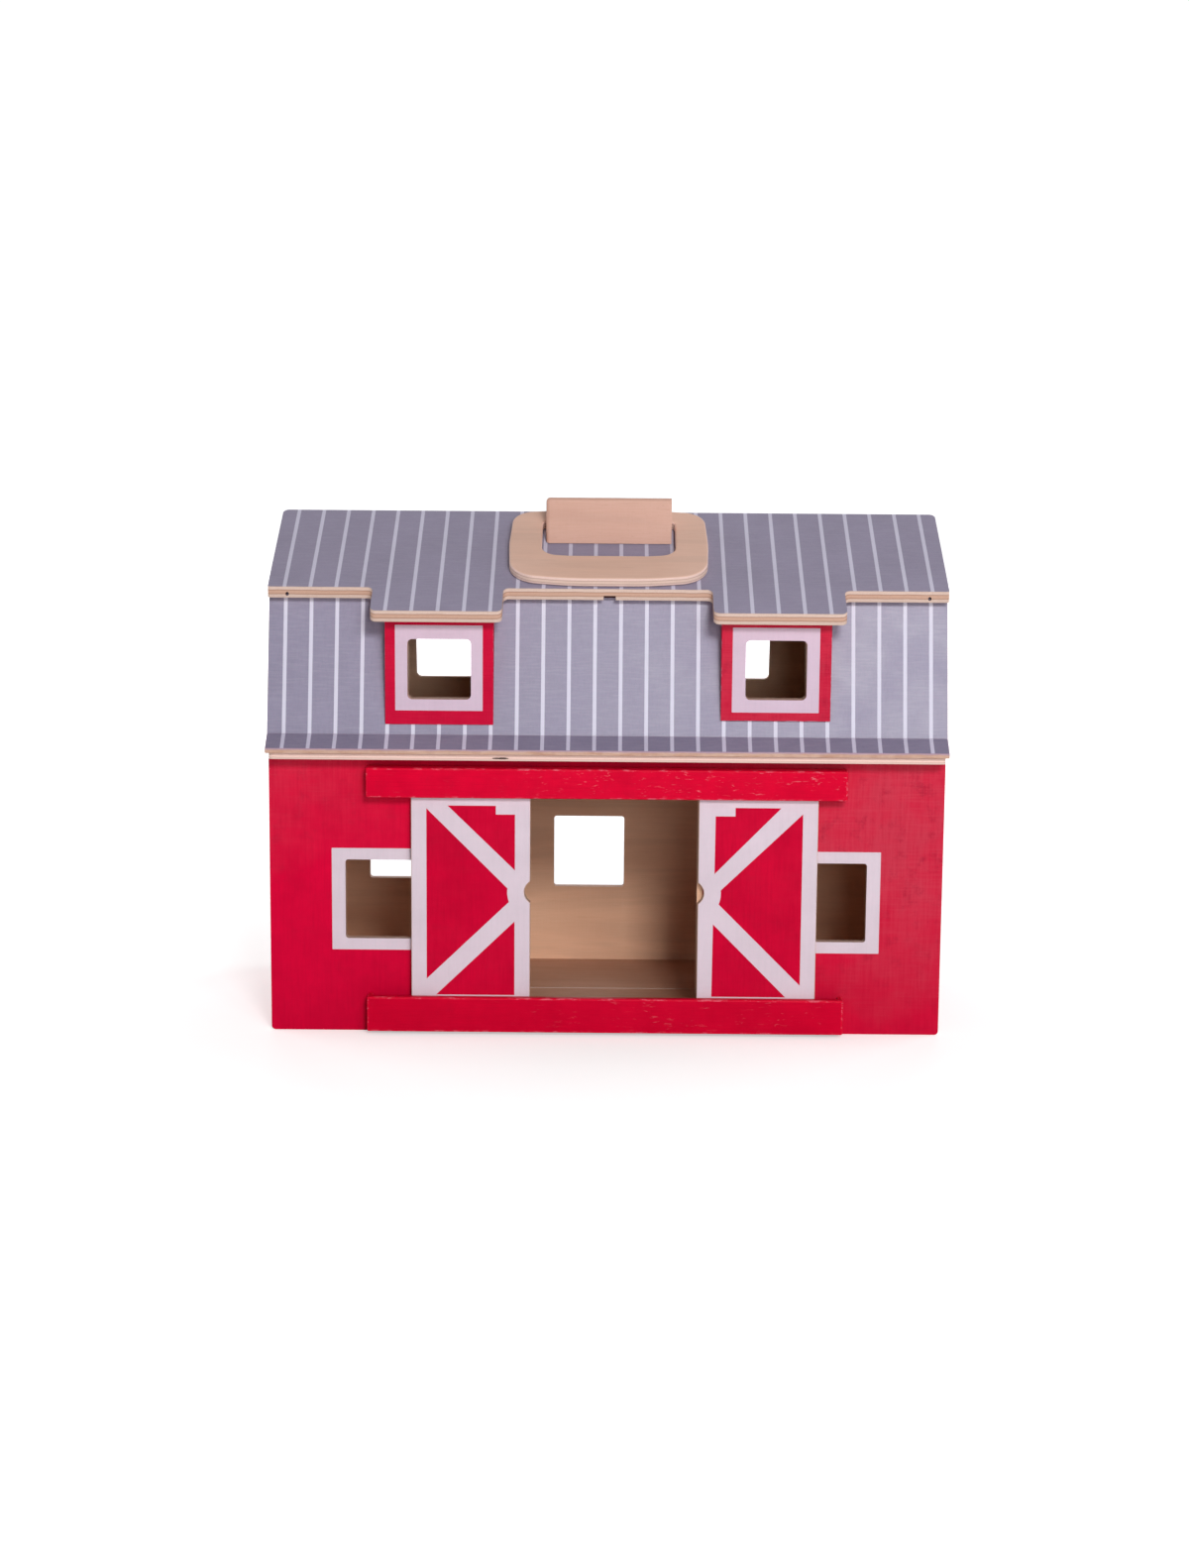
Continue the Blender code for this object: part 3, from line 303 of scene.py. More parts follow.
class BarnColours(bpy.types.PropertyGroup):
    """Colours of the paints and woods."""

    wall_red: swatch("Wall Red", "Paint of the walls", 221, 0, 56)
    # Paler red of the veil of painted sheen; it also tints the smudges and the weave
    sheen_veil: swatch("Haze", "Dull bloom on red paint", 200, 52, 74)
    door_red: swatch("Door Red", "Print of the doors", 207, 0, 50)
    dormer_red: swatch("Dormer Red", "Paint of the dormers", 205, 0, 54)
    rail_red: swatch("Rail Red", "Glossy paint of the rails", 222, 0, 49)
    white: swatch("White", "Printed trim of doors and windows", 219, 203, 214)
    frame_white: swatch("Frame White", "Printed dormer frames", 210, 186, 204)
    grey: swatch("Grey", "Print of the upper roof", 152, 145, 168)
    lower_grey: swatch("Lower Grey", "Print of the lower roof", 144, 138, 162)
    # The eave's slope is darker than the roofs; its stripes are a darker copy of the roof's stripes,
    # painted shade
    eave_grey: swatch("Eave Grey", "Print of the eave's slope", 134, 126, 150)
    stripe: swatch("Stripe", "Stripes of the lower roof", 216, 213, 230)
    upper_stripe: swatch("Upper Stripe", "Stripes of the upper roof", 208, 204, 223)
    eave_stripe: swatch("Eave Stripe", "Stripes of the eave", 203, 197, 218)
    ring: swatch("Ring", "Face of the handle ring", 228, 188, 169)
    edge_light: swatch("Light Ply", "Light layers of a ply edge", 213, 186, 173)
    edge_dark: swatch("Dark Ply", "Middle layers of a ply edge", 190, 152, 133)
    nose: swatch("Nose", "Front edge of the loft board", 230, 199, 189)
    inside: swatch("Inside", "Bare plywood of the rooms", 228, 181, 149)
    # Darker copy of the rooms' plywood on the floors and loft floors: painted shade
    floor: swatch("Floor", "Bare plywood of the floors", 190, 142, 117)
    # Paler than the rooms' plywood: painted light under the dim roof
    attic: swatch("Attic", "Bare plywood under the roof", 244, 208, 178)
    beech: swatch("Beech", "Keeper block of the handle", 213, 169, 152)
    steel: swatch("Steel", "Zinc plate of the hinges", 190, 190, 192)


def sizes():
    """The scene's barn sizes."""
    return bpy.context.scene.barn_sizes


def colours():
    """The scene's barn colours."""
    return bpy.context.scene.barn_colours


# Materials

def shade(colour, factor=1.0):
    """Colour made lighter or darker, with its alpha."""
    return (*(min(1.0, part * factor) for part in colour), 1.0)


def chalky(colour, share):
    """Colour drawn towards white by a share."""
    return (*(part + (1 - part) * share for part in colour), 1.0)


def tinted(colour, *factors):
    """Colour with each part scaled by its own factor."""
    return (*(min(1.0, part * factor) for part, factor in zip(colour, factors)), 1.0)


class Nodes:
    """Node tree with short calls for the shader nodes that the looks need."""

    def __init__(self, tree):
        self.tree = tree

    def feed(self, socket, value):
        """Link a node's output to a socket, or set the socket to a plain value."""
        if isinstance(value, bpy.types.NodeSocket):
            self.tree.links.new(value, socket)
        else:
            socket.default_value = value

    def add(self, kind, inputs=(), **settings):
        """Shader node with its settings, and its inputs linked or set."""
        made = self.tree.nodes.new("ShaderNode" + kind)
        for key, value in settings.items():
            setattr(made, key, value)
        for socket, value in dict(inputs).items():
            self.feed(made.inputs[socket], value)
        return made

    def seen(self):
        """1 where the camera looks at this straight, 0 where light reaches it."""
        return self.add("LightPath").outputs["Is Camera Ray"]

    def spread(self, value, low, high, start=0.3, end=0.7):
        """Value mapped from start and end to low and high."""
        return self.add("MapRange", {0: value, 1: start, 2: end, 3: low, 4: high}).outputs[0]

    def mixed(self, factor, first, second):
        """Colour between two others."""
        return self.add("Mix", {0: factor, 6: first, 7: second}, data_type="RGBA").outputs[2]

    def calculated(self, operation, first, second=0.0):
        """Result of a calculation with one or two values."""
        return self.add("Math", {0: first, 1: second}, operation=operation).outputs[0]

    def times(self, first, second):
        """Product of two values."""
        return self.calculated("MULTIPLY", first, second)

    def plus(self, first, second):
        """Sum of two values."""
        return self.calculated("ADD", first, second)


class Surface(Nodes):
    """Material over object coordinates in metres, whose colour is laid on in coats."""

    def __init__(self, name):
        self.material = bpy.data.materials.new(name)
        self.material.use_nodes = True
        super().__init__(self.material.node_tree)
        self.shader = self.tree.nodes["Principled BSDF"]
        self.where = self.add("TexCoord").outputs["Object"]
        self.colour = None

    def parts(self):
        """X, Y and Z of the place."""
        return self.add("SeparateXYZ", {0: self.where}).outputs

    def noise(self, scale, detail, rough, axis=None, share=1.0, distortion=0.0):
        """Noise between 0 and 1; a share below 1 draws it out along an axis."""
        vector = self.where
        if axis is not None:
            stretch = [share if number == axis else 1.0 for number in range(3)]
            vector = self.add("Mapping", {"Vector": vector, "Scale": stretch}).outputs[0]
        inputs = {"Vector": vector, "Scale": scale, "Detail": detail, "Roughness": rough}
        return self.add("TexNoise", {**inputs, "Distortion": distortion}).outputs["Fac"]

    def ground(self, value, first, second, start=0.3, end=0.7):
        """Begin with a colour from first to second as value goes from start to end."""
        self.colour = self.mixed(self.spread(value, 0.0, 1.0, start, end), first, second)

    def cover(self, colour, factor):
        """Lay a colour over the others by a factor."""
        self.colour = self.mixed(factor, self.colour, colour)

    def coat(self, colour, value, share, start, end, gate=None):
        """Lay a colour on by up to share as value goes from start to end, times a gate."""
        factor = self.spread(value, 0.0, share, start, end)
        self.cover(colour, factor if gate is None else self.times(factor, gate))

    def finished(self, roughness, height, relief, specular):
        """Material with its colour, roughness and a bump whose relief is in metres."""
        bump = self.add("Bump", {"Strength": 1.0, "Distance": relief, "Height": height})
        for name, value in (
            ("Base Color", self.colour), ("Roughness", roughness),
            ("Specular IOR Level", specular), ("Normal", bump.outputs[0]),
        ):
            self.feed(self.shader.inputs[name], value)
        return self.material


def wall_sheen_share(look):
    """Share of dull bloom on the walls: most at the right end and at the top left."""
    x, _, z = look.parts()
    drift = look.times(look.plus(look.noise(18.0, 4.0, 0.6), -0.5), 0.16)
    x = look.plus(x, drift)
    z = look.plus(z, drift)
    low = look.spread(z, 0.12, 1.0, 0.012, 0.075)
    high = look.spread(z, 0.0, 1.0, 0.075, 0.135)
    right = look.times(look.spread(x, 0.0, 1.0, 0.045, 0.125), low)
    left = look.times(look.spread(x, 0.50, 0.0, -0.150, -0.085), high)
    return look.calculated("MAXIMUM", right, left)


def dormer_sheen_share(look):
    """Share of dull bloom on the dormers, most on the right one."""
    drift = look.spread(look.noise(60.0, 4.0, 0.6), 0.6, 1.0)
    return look.times(look.spread(look.parts()[0], 0.16, 0.85, -0.04, 0.06), drift)


def even_sheen_share(share):
    """Maker of a haze that drifts between nothing and a share."""
    return lambda look: look.spread(look.noise(30.0, 3.0, 0.6), 0.0, share)


def paint(name, colour, grain, roughness, specular, sheen_veil, flecks=0.0, foot=0.0):
    """Paint over plywood: dull bloom, smudges, a weave of grain, and pale flecks.

    The grain is the number of the axis that the wood's fibres follow, and foot is how
    much the paint darkens with dirt towards the ground.
    """
    dull = colours().sheen_veil
    look = Surface(name)
    clouds = look.noise(46.0, 5.0, 0.62)
    smudges = look.noise(105.0, 5.0, 0.72)
    along = look.noise(1300.0, 3.0, 0.6, grain, 0.05)
    across = look.noise(1100.0, 3.0, 0.6, 2 - grain, 0.06)
    sheen_share = sheen_veil(look)
    look.ground(clouds, shade(colour, 0.86), shade(colour, 1.06))
    # Paler veil laid over the paint: painted sheen
    look.cover(shade(dull), look.times(sheen_share, look.spread(clouds, 0.50, 1.0, 0.36, 0.60)))
    look.coat(tinted(dull, 0.62, 0.24, 0.48), smudges, 0.62, 0.54, 0.72, look.plus(sheen_share, 0.22))
    look.coat(shade(colour, 0.70), along, 0.32, 0.46, 0.74)
    look.coat(tinted(dull, 1.12, 1.6, 1.35), across, 0.34, 0.46, 0.74, look.plus(sheen_share, 0.05))
    look.coat(tinted(dull, 1.10, 1.35, 1.25), along, 0.3, 0.50, 0.30, look.plus(sheen_share, 0.03))
    x, _, z = look.parts()
    # Darker towards the ground: painted shade
    if foot:
        look.coat(shade(colour, 0.55), z, foot, 0.075, 0.004)
    # Pale curled flecks, more towards the right end: painted glints
    if flecks:
        patches = look.spread(look.noise(70.0, 2.0, 0.6), 0.0, 1.0, 0.46, 0.62)
        glint_zone = look.times(look.spread(x, 0.06, 1.0, -0.07, 0.07), patches)
        glint_curls = look.noise(1000.0, 2.0, 0.5, grain, 0.26, 0.8)
        look.coat((0.90, 0.30, 0.36, 1.0), glint_curls, flecks, 0.62, 0.72, glint_zone)
    rough = look.spread(clouds, roughness - 0.05, roughness + 0.07)
    height = look.plus(look.times(along, 0.6), look.times(across, 0.4))
    return look.finished(rough, height, 0.00005, specular)


def worn_and_highlit_edge(name, colour, pale, share):
    """Paint on a rounded edge, rubbed pale in broken stretches."""
    look = Surface(name)
    rub = look.noise(420.0, 5.0, 0.72, 0, 0.35)
    fine = look.noise(2200.0, 2.0, 0.6)
    look.ground(fine, shade(colour, 0.88), shade(colour, 1.06))
    # Pale broken stretches along the edge: partly wear, partly painted highlight
    look.coat(shade(pale), rub, share, 0.52, 0.62)
    return look.finished(look.spread(rub, 0.42, 0.62), fine, 0.00003, 0.1)


def film(name, colour, roughness=0.46, streak=1.0, specular=0.3):
    """Printed film: even colour with a soft mottle, fine streaks and pinkish dust."""
    look = Surface(name)
    clouds = look.noise(40.0, 4.0, 0.6)
    upright = look.noise(900.0, 3.0, 0.6, 2, 0.06)
    level = look.noise(1000.0, 3.0, 0.6, 0, 0.10)
    dust = look.noise(1500.0, 2.0, 0.7)
    look.ground(clouds, shade(colour, 1 - 0.08 * streak), shade(colour, 1.04))
    look.coat(shade(colour, 0.76), upright, 0.26 * streak, 0.44, 0.72)
    look.coat(chalky(colour, 0.16), level, 0.26 * streak, 0.46, 0.74)
    look.coat(tinted(colour, 1.22, 0.97, 1.04), dust, 0.36 * streak, 0.48, 0.72)
    rough = look.spread(clouds, roughness - 0.06, roughness + 0.08)
    height = look.plus(look.times(level, 0.5), look.times(dust, 0.5))
    return look.finished(rough, height, 0.00005, specular)


def ply_edge(name, across, start, thickness=PLY, light=None, dark=None):
    """Sawn edge of plywood: layers across its thickness, glue lines, pores and burrs.

    The layers are square to across, and the first begins at start along it. Light and
    dark are the colours of the outer layers and of the middle one.
    """
    if light is None:
        light, dark = colours().edge_light, colours().edge_dark
    look = Surface(name)
    wobble = look.plus(look.noise(80.0, 3.0, 0.6), -0.5)
    depth = look.add("VectorMath", {0: look.where, 1: across}, operation="DOT_PRODUCT")
    share = look.spread(depth.outputs["Value"], 0.0, 1.0, start, start + thickness)
    ramp = look.add("ValToRGB", {0: look.plus(share, look.times(wobble, 0.12))})
    glue = tinted(dark, 0.66, 0.54, 0.48)
    layers = ramp.color_ramp.elements
    layers[0].color = shade(light, 0.94)
    layers[1].color = shade(light, 0.88)
    for place, colour in (
        (0.27, shade(light)), (0.33, glue), (0.38, shade(dark, 1.12)), (0.62, shade(dark, 1.18)),
        (0.67, glue), (0.73, shade(light, 1.03)), (0.90, shade(light, 1.10)),
    ):
        layers.new(place).color = colour
    look.colour = ramp.outputs[0]
    pores = look.noise(1500.0, 3.0, 0.7)
    look.coat(tinted(dark, 0.72, 0.60, 0.54), pores, 0.26, 0.50, 0.76)
    look.coat(shade(dark, 0.90), look.noise(70.0, 4.0, 0.65), 0.26, 0.50, 0.78)
    return look.finished(look.spread(pores, 0.58, 0.74), pores, 0.00008, 0.2)


def bored(name):
    """Scorched wood inside drilled holes, the edge notch and the nose's void."""
    look = Surface(name)
    burn = look.noise(900.0, 3.0, 0.6)
    look.ground(burn, (0.030, 0.012, 0.014, 1.0), (0.075, 0.032, 0.034, 1.0), 0.0, 1.0)
    return look.finished(look.spread(burn, 0.75, 0.90), burn, 0.00006, 0.05)


def lip(name, light, dark, spilt):
    """Rough lower edge of the eave moulding, with print spilt over its top."""
    look = Surface(name)
    ragged = look.times(look.plus(look.noise(420.0, 4.0, 0.7, 0, 0.3), -0.5), 0.5)
    height = look.spread(look.parts()[2], 0.0, 1.0, EAVE_FOOT, EAVE_FOOT + EAVE_LIP)
    fibres = look.noise(1500.0, 4.0, 0.65, 0, 0.05)
    look.ground(fibres, tinted(dark, 1.04, 0.94, 0.86), tinted(light, 1.02, 0.98, 0.94))
    look.coat(tinted(dark, 0.80, 0.66, 0.62), look.noise(120.0, 4.0, 0.65), 0.5, 0.46, 0.72)
    look.coat(tinted(spilt, 1.36, 1.02, 1.02), look.plus(height, ragged), 0.85, 0.66, 0.92)
    return look.finished(look.spread(fibres, 0.55, 0.75), fibres, 0.00012, 0.2)


def wood(name, colour, grain, contrast, fleck=0.0):
    """Bare wood face: drifting figure, a fine weave of fibres and, for beech, dark flecks."""
    look = Surface(name)
    bands = look.calculated("SINE", look.times(look.noise(60.0, 4.0, 0.55, grain, 0.10, 0.9), 17.0))
    clouds = look.noise(26.0, 4.0, 0.6)
    fibres = look.noise(1900.0, 4.0, 0.65, grain, 0.03)
    cross = look.noise(1300.0, 3.0, 0.6, 2 - grain, 0.05)
    pores = look.noise(900.0, 2.0, 0.5, grain, 0.06)
    pale = shade(colour, 1.0 + 0.05 * contrast)
    look.ground(bands, shade(colour, 1.0 - 0.09 * contrast), pale, -1.0, 1.0)
    warm = tinted(colour, 0.84, 0.74, 0.66)
    dark = tinted(colour, 0.58, 0.44, 0.36)
    look.coat(warm, clouds, 0.36 * contrast, 0.45, 0.75)
    look.coat(warm, fibres, 0.50 * contrast, 0.42, 0.74)
    look.coat(chalky(colour, 0.08), cross, 0.30 * contrast, 0.46, 0.76)
    look.coat(dark, pores, 0.34 * contrast, 0.68, 0.78)
    if fleck:
        look.coat(dark, look.noise(1500.0, 0.0, 0.5, grain, 0.30), fleck, 0.68, 0.76)
    height = look.plus(look.times(fibres, 0.7), look.times(pores, 0.3))
    return look.finished(look.spread(fibres, 0.45, 0.60), height, 0.00006, 0.3)


def zinc(name, colour):
    """Zinc-plated steel: bright, with a fine brushed bloom and dull patches."""
    look = Surface(name)
    bloom = look.noise(420.0, 4.0, 0.6)
    brush = look.noise(5200.0, 2.0, 0.6, 2, 0.08)
    look.ground(bloom, shade(colour, 1.05), tinted(colour, 0.86, 0.90, 0.98))
    look.shader.inputs["Metallic"].default_value = 1.0
    rough = look.plus(look.spread(bloom, 0.20, 0.36), look.times(brush, 0.08))
    return look.finished(rough, brush, 0.00002, 0.5)


def outer_ply(axis, point):
    """Look of a ply edge whose outer face is square to an axis and holds a point."""
    return ply_edge, axis, Vector(point).dot(axis) - PLY


# Looks as a maker and its values, in which a colour stands by its property's name
LOOKS = {
    # The red wall's and the lower rail's last values darken the paint towards the ground: painted
    # shade
    "red_wall": (paint, "wall_red", 2, 0.46, 0.04, wall_sheen_share, 0.0, 0.30),
    "red_door": (paint, "door_red", 2, 0.44, 0.03, even_sheen_share(0.06)),
    "red_dormer": (paint, "dormer_red", 0, 0.42, 0.04, dormer_sheen_share),
    # The rails' seventh value is the share of pale flecks: painted glints
    "red_rail": (paint, "rail_red", 0, 0.34, 0.03, even_sheen_share(0.03), 0.55),
    "red_lower_rail": (paint, "rail_red", 0, 0.34, 0.03, even_sheen_share(0.03), 0.2, 0.35),
    # Rounded edges of the dormers and rails: partly worn paint, partly painted highlight
    "worn_red": (worn_and_highlit_edge, "dormer_red", "frame_white", 0.75),
    "worn_rail": (worn_and_highlit_edge, "rail_red", (0.86, 0.22, 0.30), 0.5),
    "white_print": (film, "white", 0.50, 0.6),
    "frame_print": (film, "frame_white", 0.50, 0.6),
    "roof_grey": (film, "grey", 0.50, 1.0, 0.35),
    "lower_roof_grey": (film, "lower_grey", 0.42, 1.2, 0.42),
    "eave_grey": (film, "eave_grey"),
    "upper_stripe": (film, "upper_stripe", 0.52, 0.5, 0.25),
    "roof_stripe": (film, "stripe", 0.52, 0.5, 0.25),
    # Darker copy of the roof's stripes: painted shade
    "eave_stripe": (film, "eave_stripe", 0.50, 0.6),
    "eave_lip": (lip, "edge_light", "edge_dark", "grey"),
    "birch_face": (wood, "ring", 0, 0.55),
    "beech_face": (wood, "beech", 0, 0.55, 0.12),
    "room_wood": (wood, "inside", 0, 0.7),
    # Darker copy of the rooms' plywood: painted shade
    "floor_wood": (wood, "floor", 0, 0.7),
    "room_end_wood": (wood, "inside", 2, 0.7),
    # Paler copy of the rooms' plywood: painted light
    "attic_wood": (wood, "attic", 0, 0.7),
    "steel": (zinc, "steel"),
    "bored": (bored,),
    "wall_edge_front": (ply_edge, Y_AXIS, -WALL_REACH),
    "wall_edge_rear": (ply_edge, Y_AXIS, WALL_REACH - PLY),
    "end_edge_left": (ply_edge, X_AXIS, -HALF_LENGTH),
    "end_edge_right": (ply_edge, X_AXIS, HALF_LENGTH - PLY),
    "door_edge": (ply_edge, Y_AXIS, -DOOR_FRONT_REACH),
    "floor_edge": (ply_edge, Z_AXIS, 0.0),
    "loft_edge": (ply_edge, Z_AXIS, LOFT_TOP - LOFT_PLY, LOFT_PLY, "nose", "nose"),
    "ring_edge": (
        ply_edge, OFF_SLOPE, RIDGE_HEIGHT * OFF_SLOPE.z + GAP, PLY, "nose", "edge_light"
    ),
}
for side, word in SIDES:
    LOOKS[f"roof_edge_{word}"] = outer_ply(slope_axis(side), (0, 0, RIDGE_HEIGHT))
    LOOKS[f"lean_edge_{word}"] = outer_ply(lean_axis(side), (0, side * LOWER_ROOF_FOOT, LOFT_TOP))

MATERIALS = {}


def material(name):
    """Material of the barn by its look's name, made when it is first asked for."""
    if name not in MATERIALS:
        maker, *values = LOOKS[name]
        MATERIALS[name] = maker(name, *(
            getattr(colours(), value) if isinstance(value, str) else value for value in values
        ))
    return MATERIALS[name]


# Making and dressing pieces

def new_object(name, data):
    """Object of some data, linked to the scene."""
    made = bpy.data.objects.new(name, data)
    bpy.context.scene.collection.objects.link(made)
    return made


def new_piece(name, mesh, body, slot, *nodes):
    """Object of a mesh that rides on a body and stands for its nodes."""
    piece = new_object(name, mesh)
    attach(piece, body)
    if nodes:
        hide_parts(*nodes)
    return piece


def new_work(mesh):
    """Bmesh of a mesh."""
    work = bmesh.new()
    work.from_mesh(mesh)
    return work


def new_mesh(name, work):
    """Mesh of a finished bmesh."""
    mesh = bpy.data.meshes.new(name)
    work.to_mesh(mesh)
    work.free()
    return mesh


def applied(piece, *tools):
    """Mesh of an object with its modifiers; the object and its tools are taken away."""
    bpy.context.view_layer.update()
    graph = bpy.context.evaluated_depsgraph_get()
    mesh = bpy.data.meshes.new_from_object(piece.evaluated_get(graph))
    for item in (piece, *tools):
        bpy.data.objects.remove(item)
    return mesh


def welded_work(mesh):
    """Bmesh of a mesh, welded and with its flat faces whole."""
    work = new_work(mesh)
    bmesh.ops.remove_doubles(work, verts=work.verts, dist=WELD)
    bmesh.ops.dissolve_limit(
        work, angle_limit=FLAT, verts=work.verts, edges=work.edges, use_dissolve_boundaries=False
    )
    return work


def board_work(node):
    """Bmesh of a node's packed solid."""
    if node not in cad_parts:
        raise RuntimeError(f"the frame has no node {node}")
    return welded_work(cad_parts[node].data)


def cut_faces(work, faces, point, normal):
    """Cut some faces along a plane, without taking anything away."""
    edges = {edge for face in faces for edge in face.edges}
    verts = {vert for face in faces for vert in face.verts}
    bmesh.ops.bisect_plane(
        work, geom=[*faces, *edges, *verts], plane_co=point, plane_no=normal, dist=WELD
    )


def cut_stripes(work, painted):
    """Cut the painted faces along both sides of every stripe."""
    pitch = sizes().stripe_pitch
    count = int(HALF_LENGTH / pitch)
    for step in range(-count, count):
        for way in (-1, 1):
            x = (step + 0.5) * pitch + way * sizes().stripe_width / 2
            faces = [face for face in work.faces if painted(face)]
            cut_faces(work, faces, Vector((x, 0, 0)), X_AXIS)


def on_stripe(face):
    """Whether a face lies on a stripe."""
    pitch = sizes().stripe_pitch
    x = face.calc_center_median().x
    nearest = (math.floor(x / pitch) + 0.5) * pitch
    return abs(x - nearest) < sizes().stripe_width / 2


def facing(face, direction, share=FACING_SHARE):
    """Whether a face looks along a direction."""
    return face.normal.dot(direction) > share


def sided(axis, outer, inner, edge):
    """Chooser of a face's look: outer or inner along an axis, or else edge."""
    def pick(face):
        if facing(face, axis):
            return outer
        return inner if facing(face, -axis) else edge
    return pick


def dressed(name, node, body, slot, looks, pick, work=None):
    """Piece that stands for a node, each face with the look that pick gives it by name."""
    if work is None:
        work = board_work(node)
    for face in work.faces:
        face.material_index = looks.index(pick(face))
        face.smooth = True
    mesh = new_mesh(name, work)
    for look in looks:
        mesh.materials.append(material(look))
    return new_piece(name, mesh, body, slot, node)


def soften(piece, width, segments=2, edge_look=0):
    """Round a piece's sharp edges, in the look of that number; -1 keeps the faces' own."""
    bevel = piece.modifiers.new("soft edges", "BEVEL")
    bevel.width = width
    bevel.segments = segments
    bevel.limit_method = "ANGLE"
    bevel.angle_limit = SHARP_EDGE
    bevel.miter_outer = "MITER_ARC"
    bevel.material = edge_look
    even = piece.modifiers.new("even shading", "WEIGHTED_NORMAL")
    even.weight = EVEN_WEIGHT


def rounded(corners):
    """Outline of (u, v, radius) corners, each turned into an arc."""
    outline = []
    for index, (u, v, radius) in enumerate(corners):
        corner = Vector((u, v))
        if radius <= 0:
            outline.append(corner)
            continue
        before = (Vector(corners[index - 1][:2]) - corner).normalized()
        after = (Vector(corners[(index + 1) % len(corners)][:2]) - corner).normalized()
        turn = math.pi - before.angle(after)
        centre = corner + (before + after).normalized() * radius / math.cos(turn / 2)
        spoke = corner + before * radius * math.tan(turn / 2) - centre
        way = 1 if after.x * before.y - after.y * before.x > 0 else -1
        steps = max(2, round(turn / ARC_STEP))
        for step in range(steps + 1):
            outline.append(centre + Matrix.Rotation(way * turn * step / steps, 2) @ spoke)
    return outline


def rectangle(left, right, bottom, top, radius):
    """Outline of a rectangle with round corners."""
    corners = ((left, bottom), (right, bottom), (right, top), (left, top))
    return rounded([(u, v, radius) for u, v in corners])


def placed(origin, u_axis, v_axis):
    """Matrix that puts a drawing's axes along the given ones."""
    turn = Matrix((u_axis, v_axis, u_axis.cross(v_axis))).transposed()
    return Matrix.Translation(origin) @ turn.to_4x4()


def plate_mesh(name, loops, thickness, placing):
    """Mesh of a flat plate whose first loop is its edge and whose others are holes."""
    curve = bpy.data.curves.new(name, "CURVE")
    curve.dimensions = "2D"
    curve.fill_mode = "BOTH"
    curve.extrude = thickness / 2
    for loop in loops:
        spline = curve.splines.new("POLY")
        spline.points.add(len(loop) - 1)
        for point, (u, v) in zip(spline.points, loop):
            point.co = (u, v, 0, 1)
        spline.use_cyclic_u = True
    mesh = applied(new_object(name, curve))
    work = welded_work(mesh)
    bmesh.ops.recalc_face_normals(work, faces=work.faces)
    bmesh.ops.transform(work, matrix=placing, verts=work.verts)
    work.to_mesh(mesh)
    work.free()
    return mesh


def printed(name, loops, plane, body, look="white_print"):
    """Thin printed trim on a plane (origin, u axis, v axis), sunk a little into its board."""
    mesh = plate_mesh(name, loops, sizes().print_lift * 2, placed(*plane))
    mesh.materials.append(material(look))
    new_piece(name, mesh, body, "red_paint")


def carved(name, mesh, tool_mesh):
    """Copy of a mesh with the room of another taken out of it."""
    whole = new_object(name, mesh)
    tool = new_object(name + "_tool", tool_mesh)
    cut = whole.modifiers.new("carving", "BOOLEAN")
    cut.operation = "DIFFERENCE"
    cut.solver = "EXACT"
    cut.object = tool
    return applied(whole, tool)


def turned_mesh(name, profile, facets):
    """Mesh turned about Z from (radius, height) points that start and end on it."""
    work = bmesh.new()
    verts = [work.verts.new((radius, 0, height)) for radius, height in profile]
    edges = [work.edges.new(pair) for pair in zip(verts, verts[1:])]
    bmesh.ops.spin(
        work, geom=[*verts, *edges], axis=Z_AXIS, cent=Vector(), angle=math.tau, steps=facets,
        use_merge=True
    )
    bmesh.ops.remove_doubles(work, verts=work.verts, dist=WELD)
    bmesh.ops.recalc_face_normals(work, faces=work.faces)
    return new_mesh(name, work)


def smooth(mesh, sharp):
    """Shade a mesh smooth, but for edges sharper than an angle."""
    for polygon in mesh.polygons:
        polygon.use_smooth = True
    mesh.set_sharp_from_angle(angle=sharp)


def along_axis(place, axis, spin=0.0):
    """Matrix that turns Z along an axis, after a spin about it, and moves to a place."""
    turn = axis.to_track_quat("Z", "Y").to_matrix().to_4x4()
    return Matrix.Translation(place) @ turn @ Matrix.Rotation(spin, 4, "Z")


def operator_class(label, text, work):
    """Operator that runs one making function."""
    words = label.lower().replace(" ", "_")

    def execute(self, context):
        work()
        return {"FINISHED"}

    return type(
        "BARN_OT_" + words, (bpy.types.Operator,),
        {"bl_idname": "barn." + words, "bl_label": label, "__doc__": text, "execute": execute,
         "bl_options": {"REGISTER", "UNDO"}}
    )


# Walls

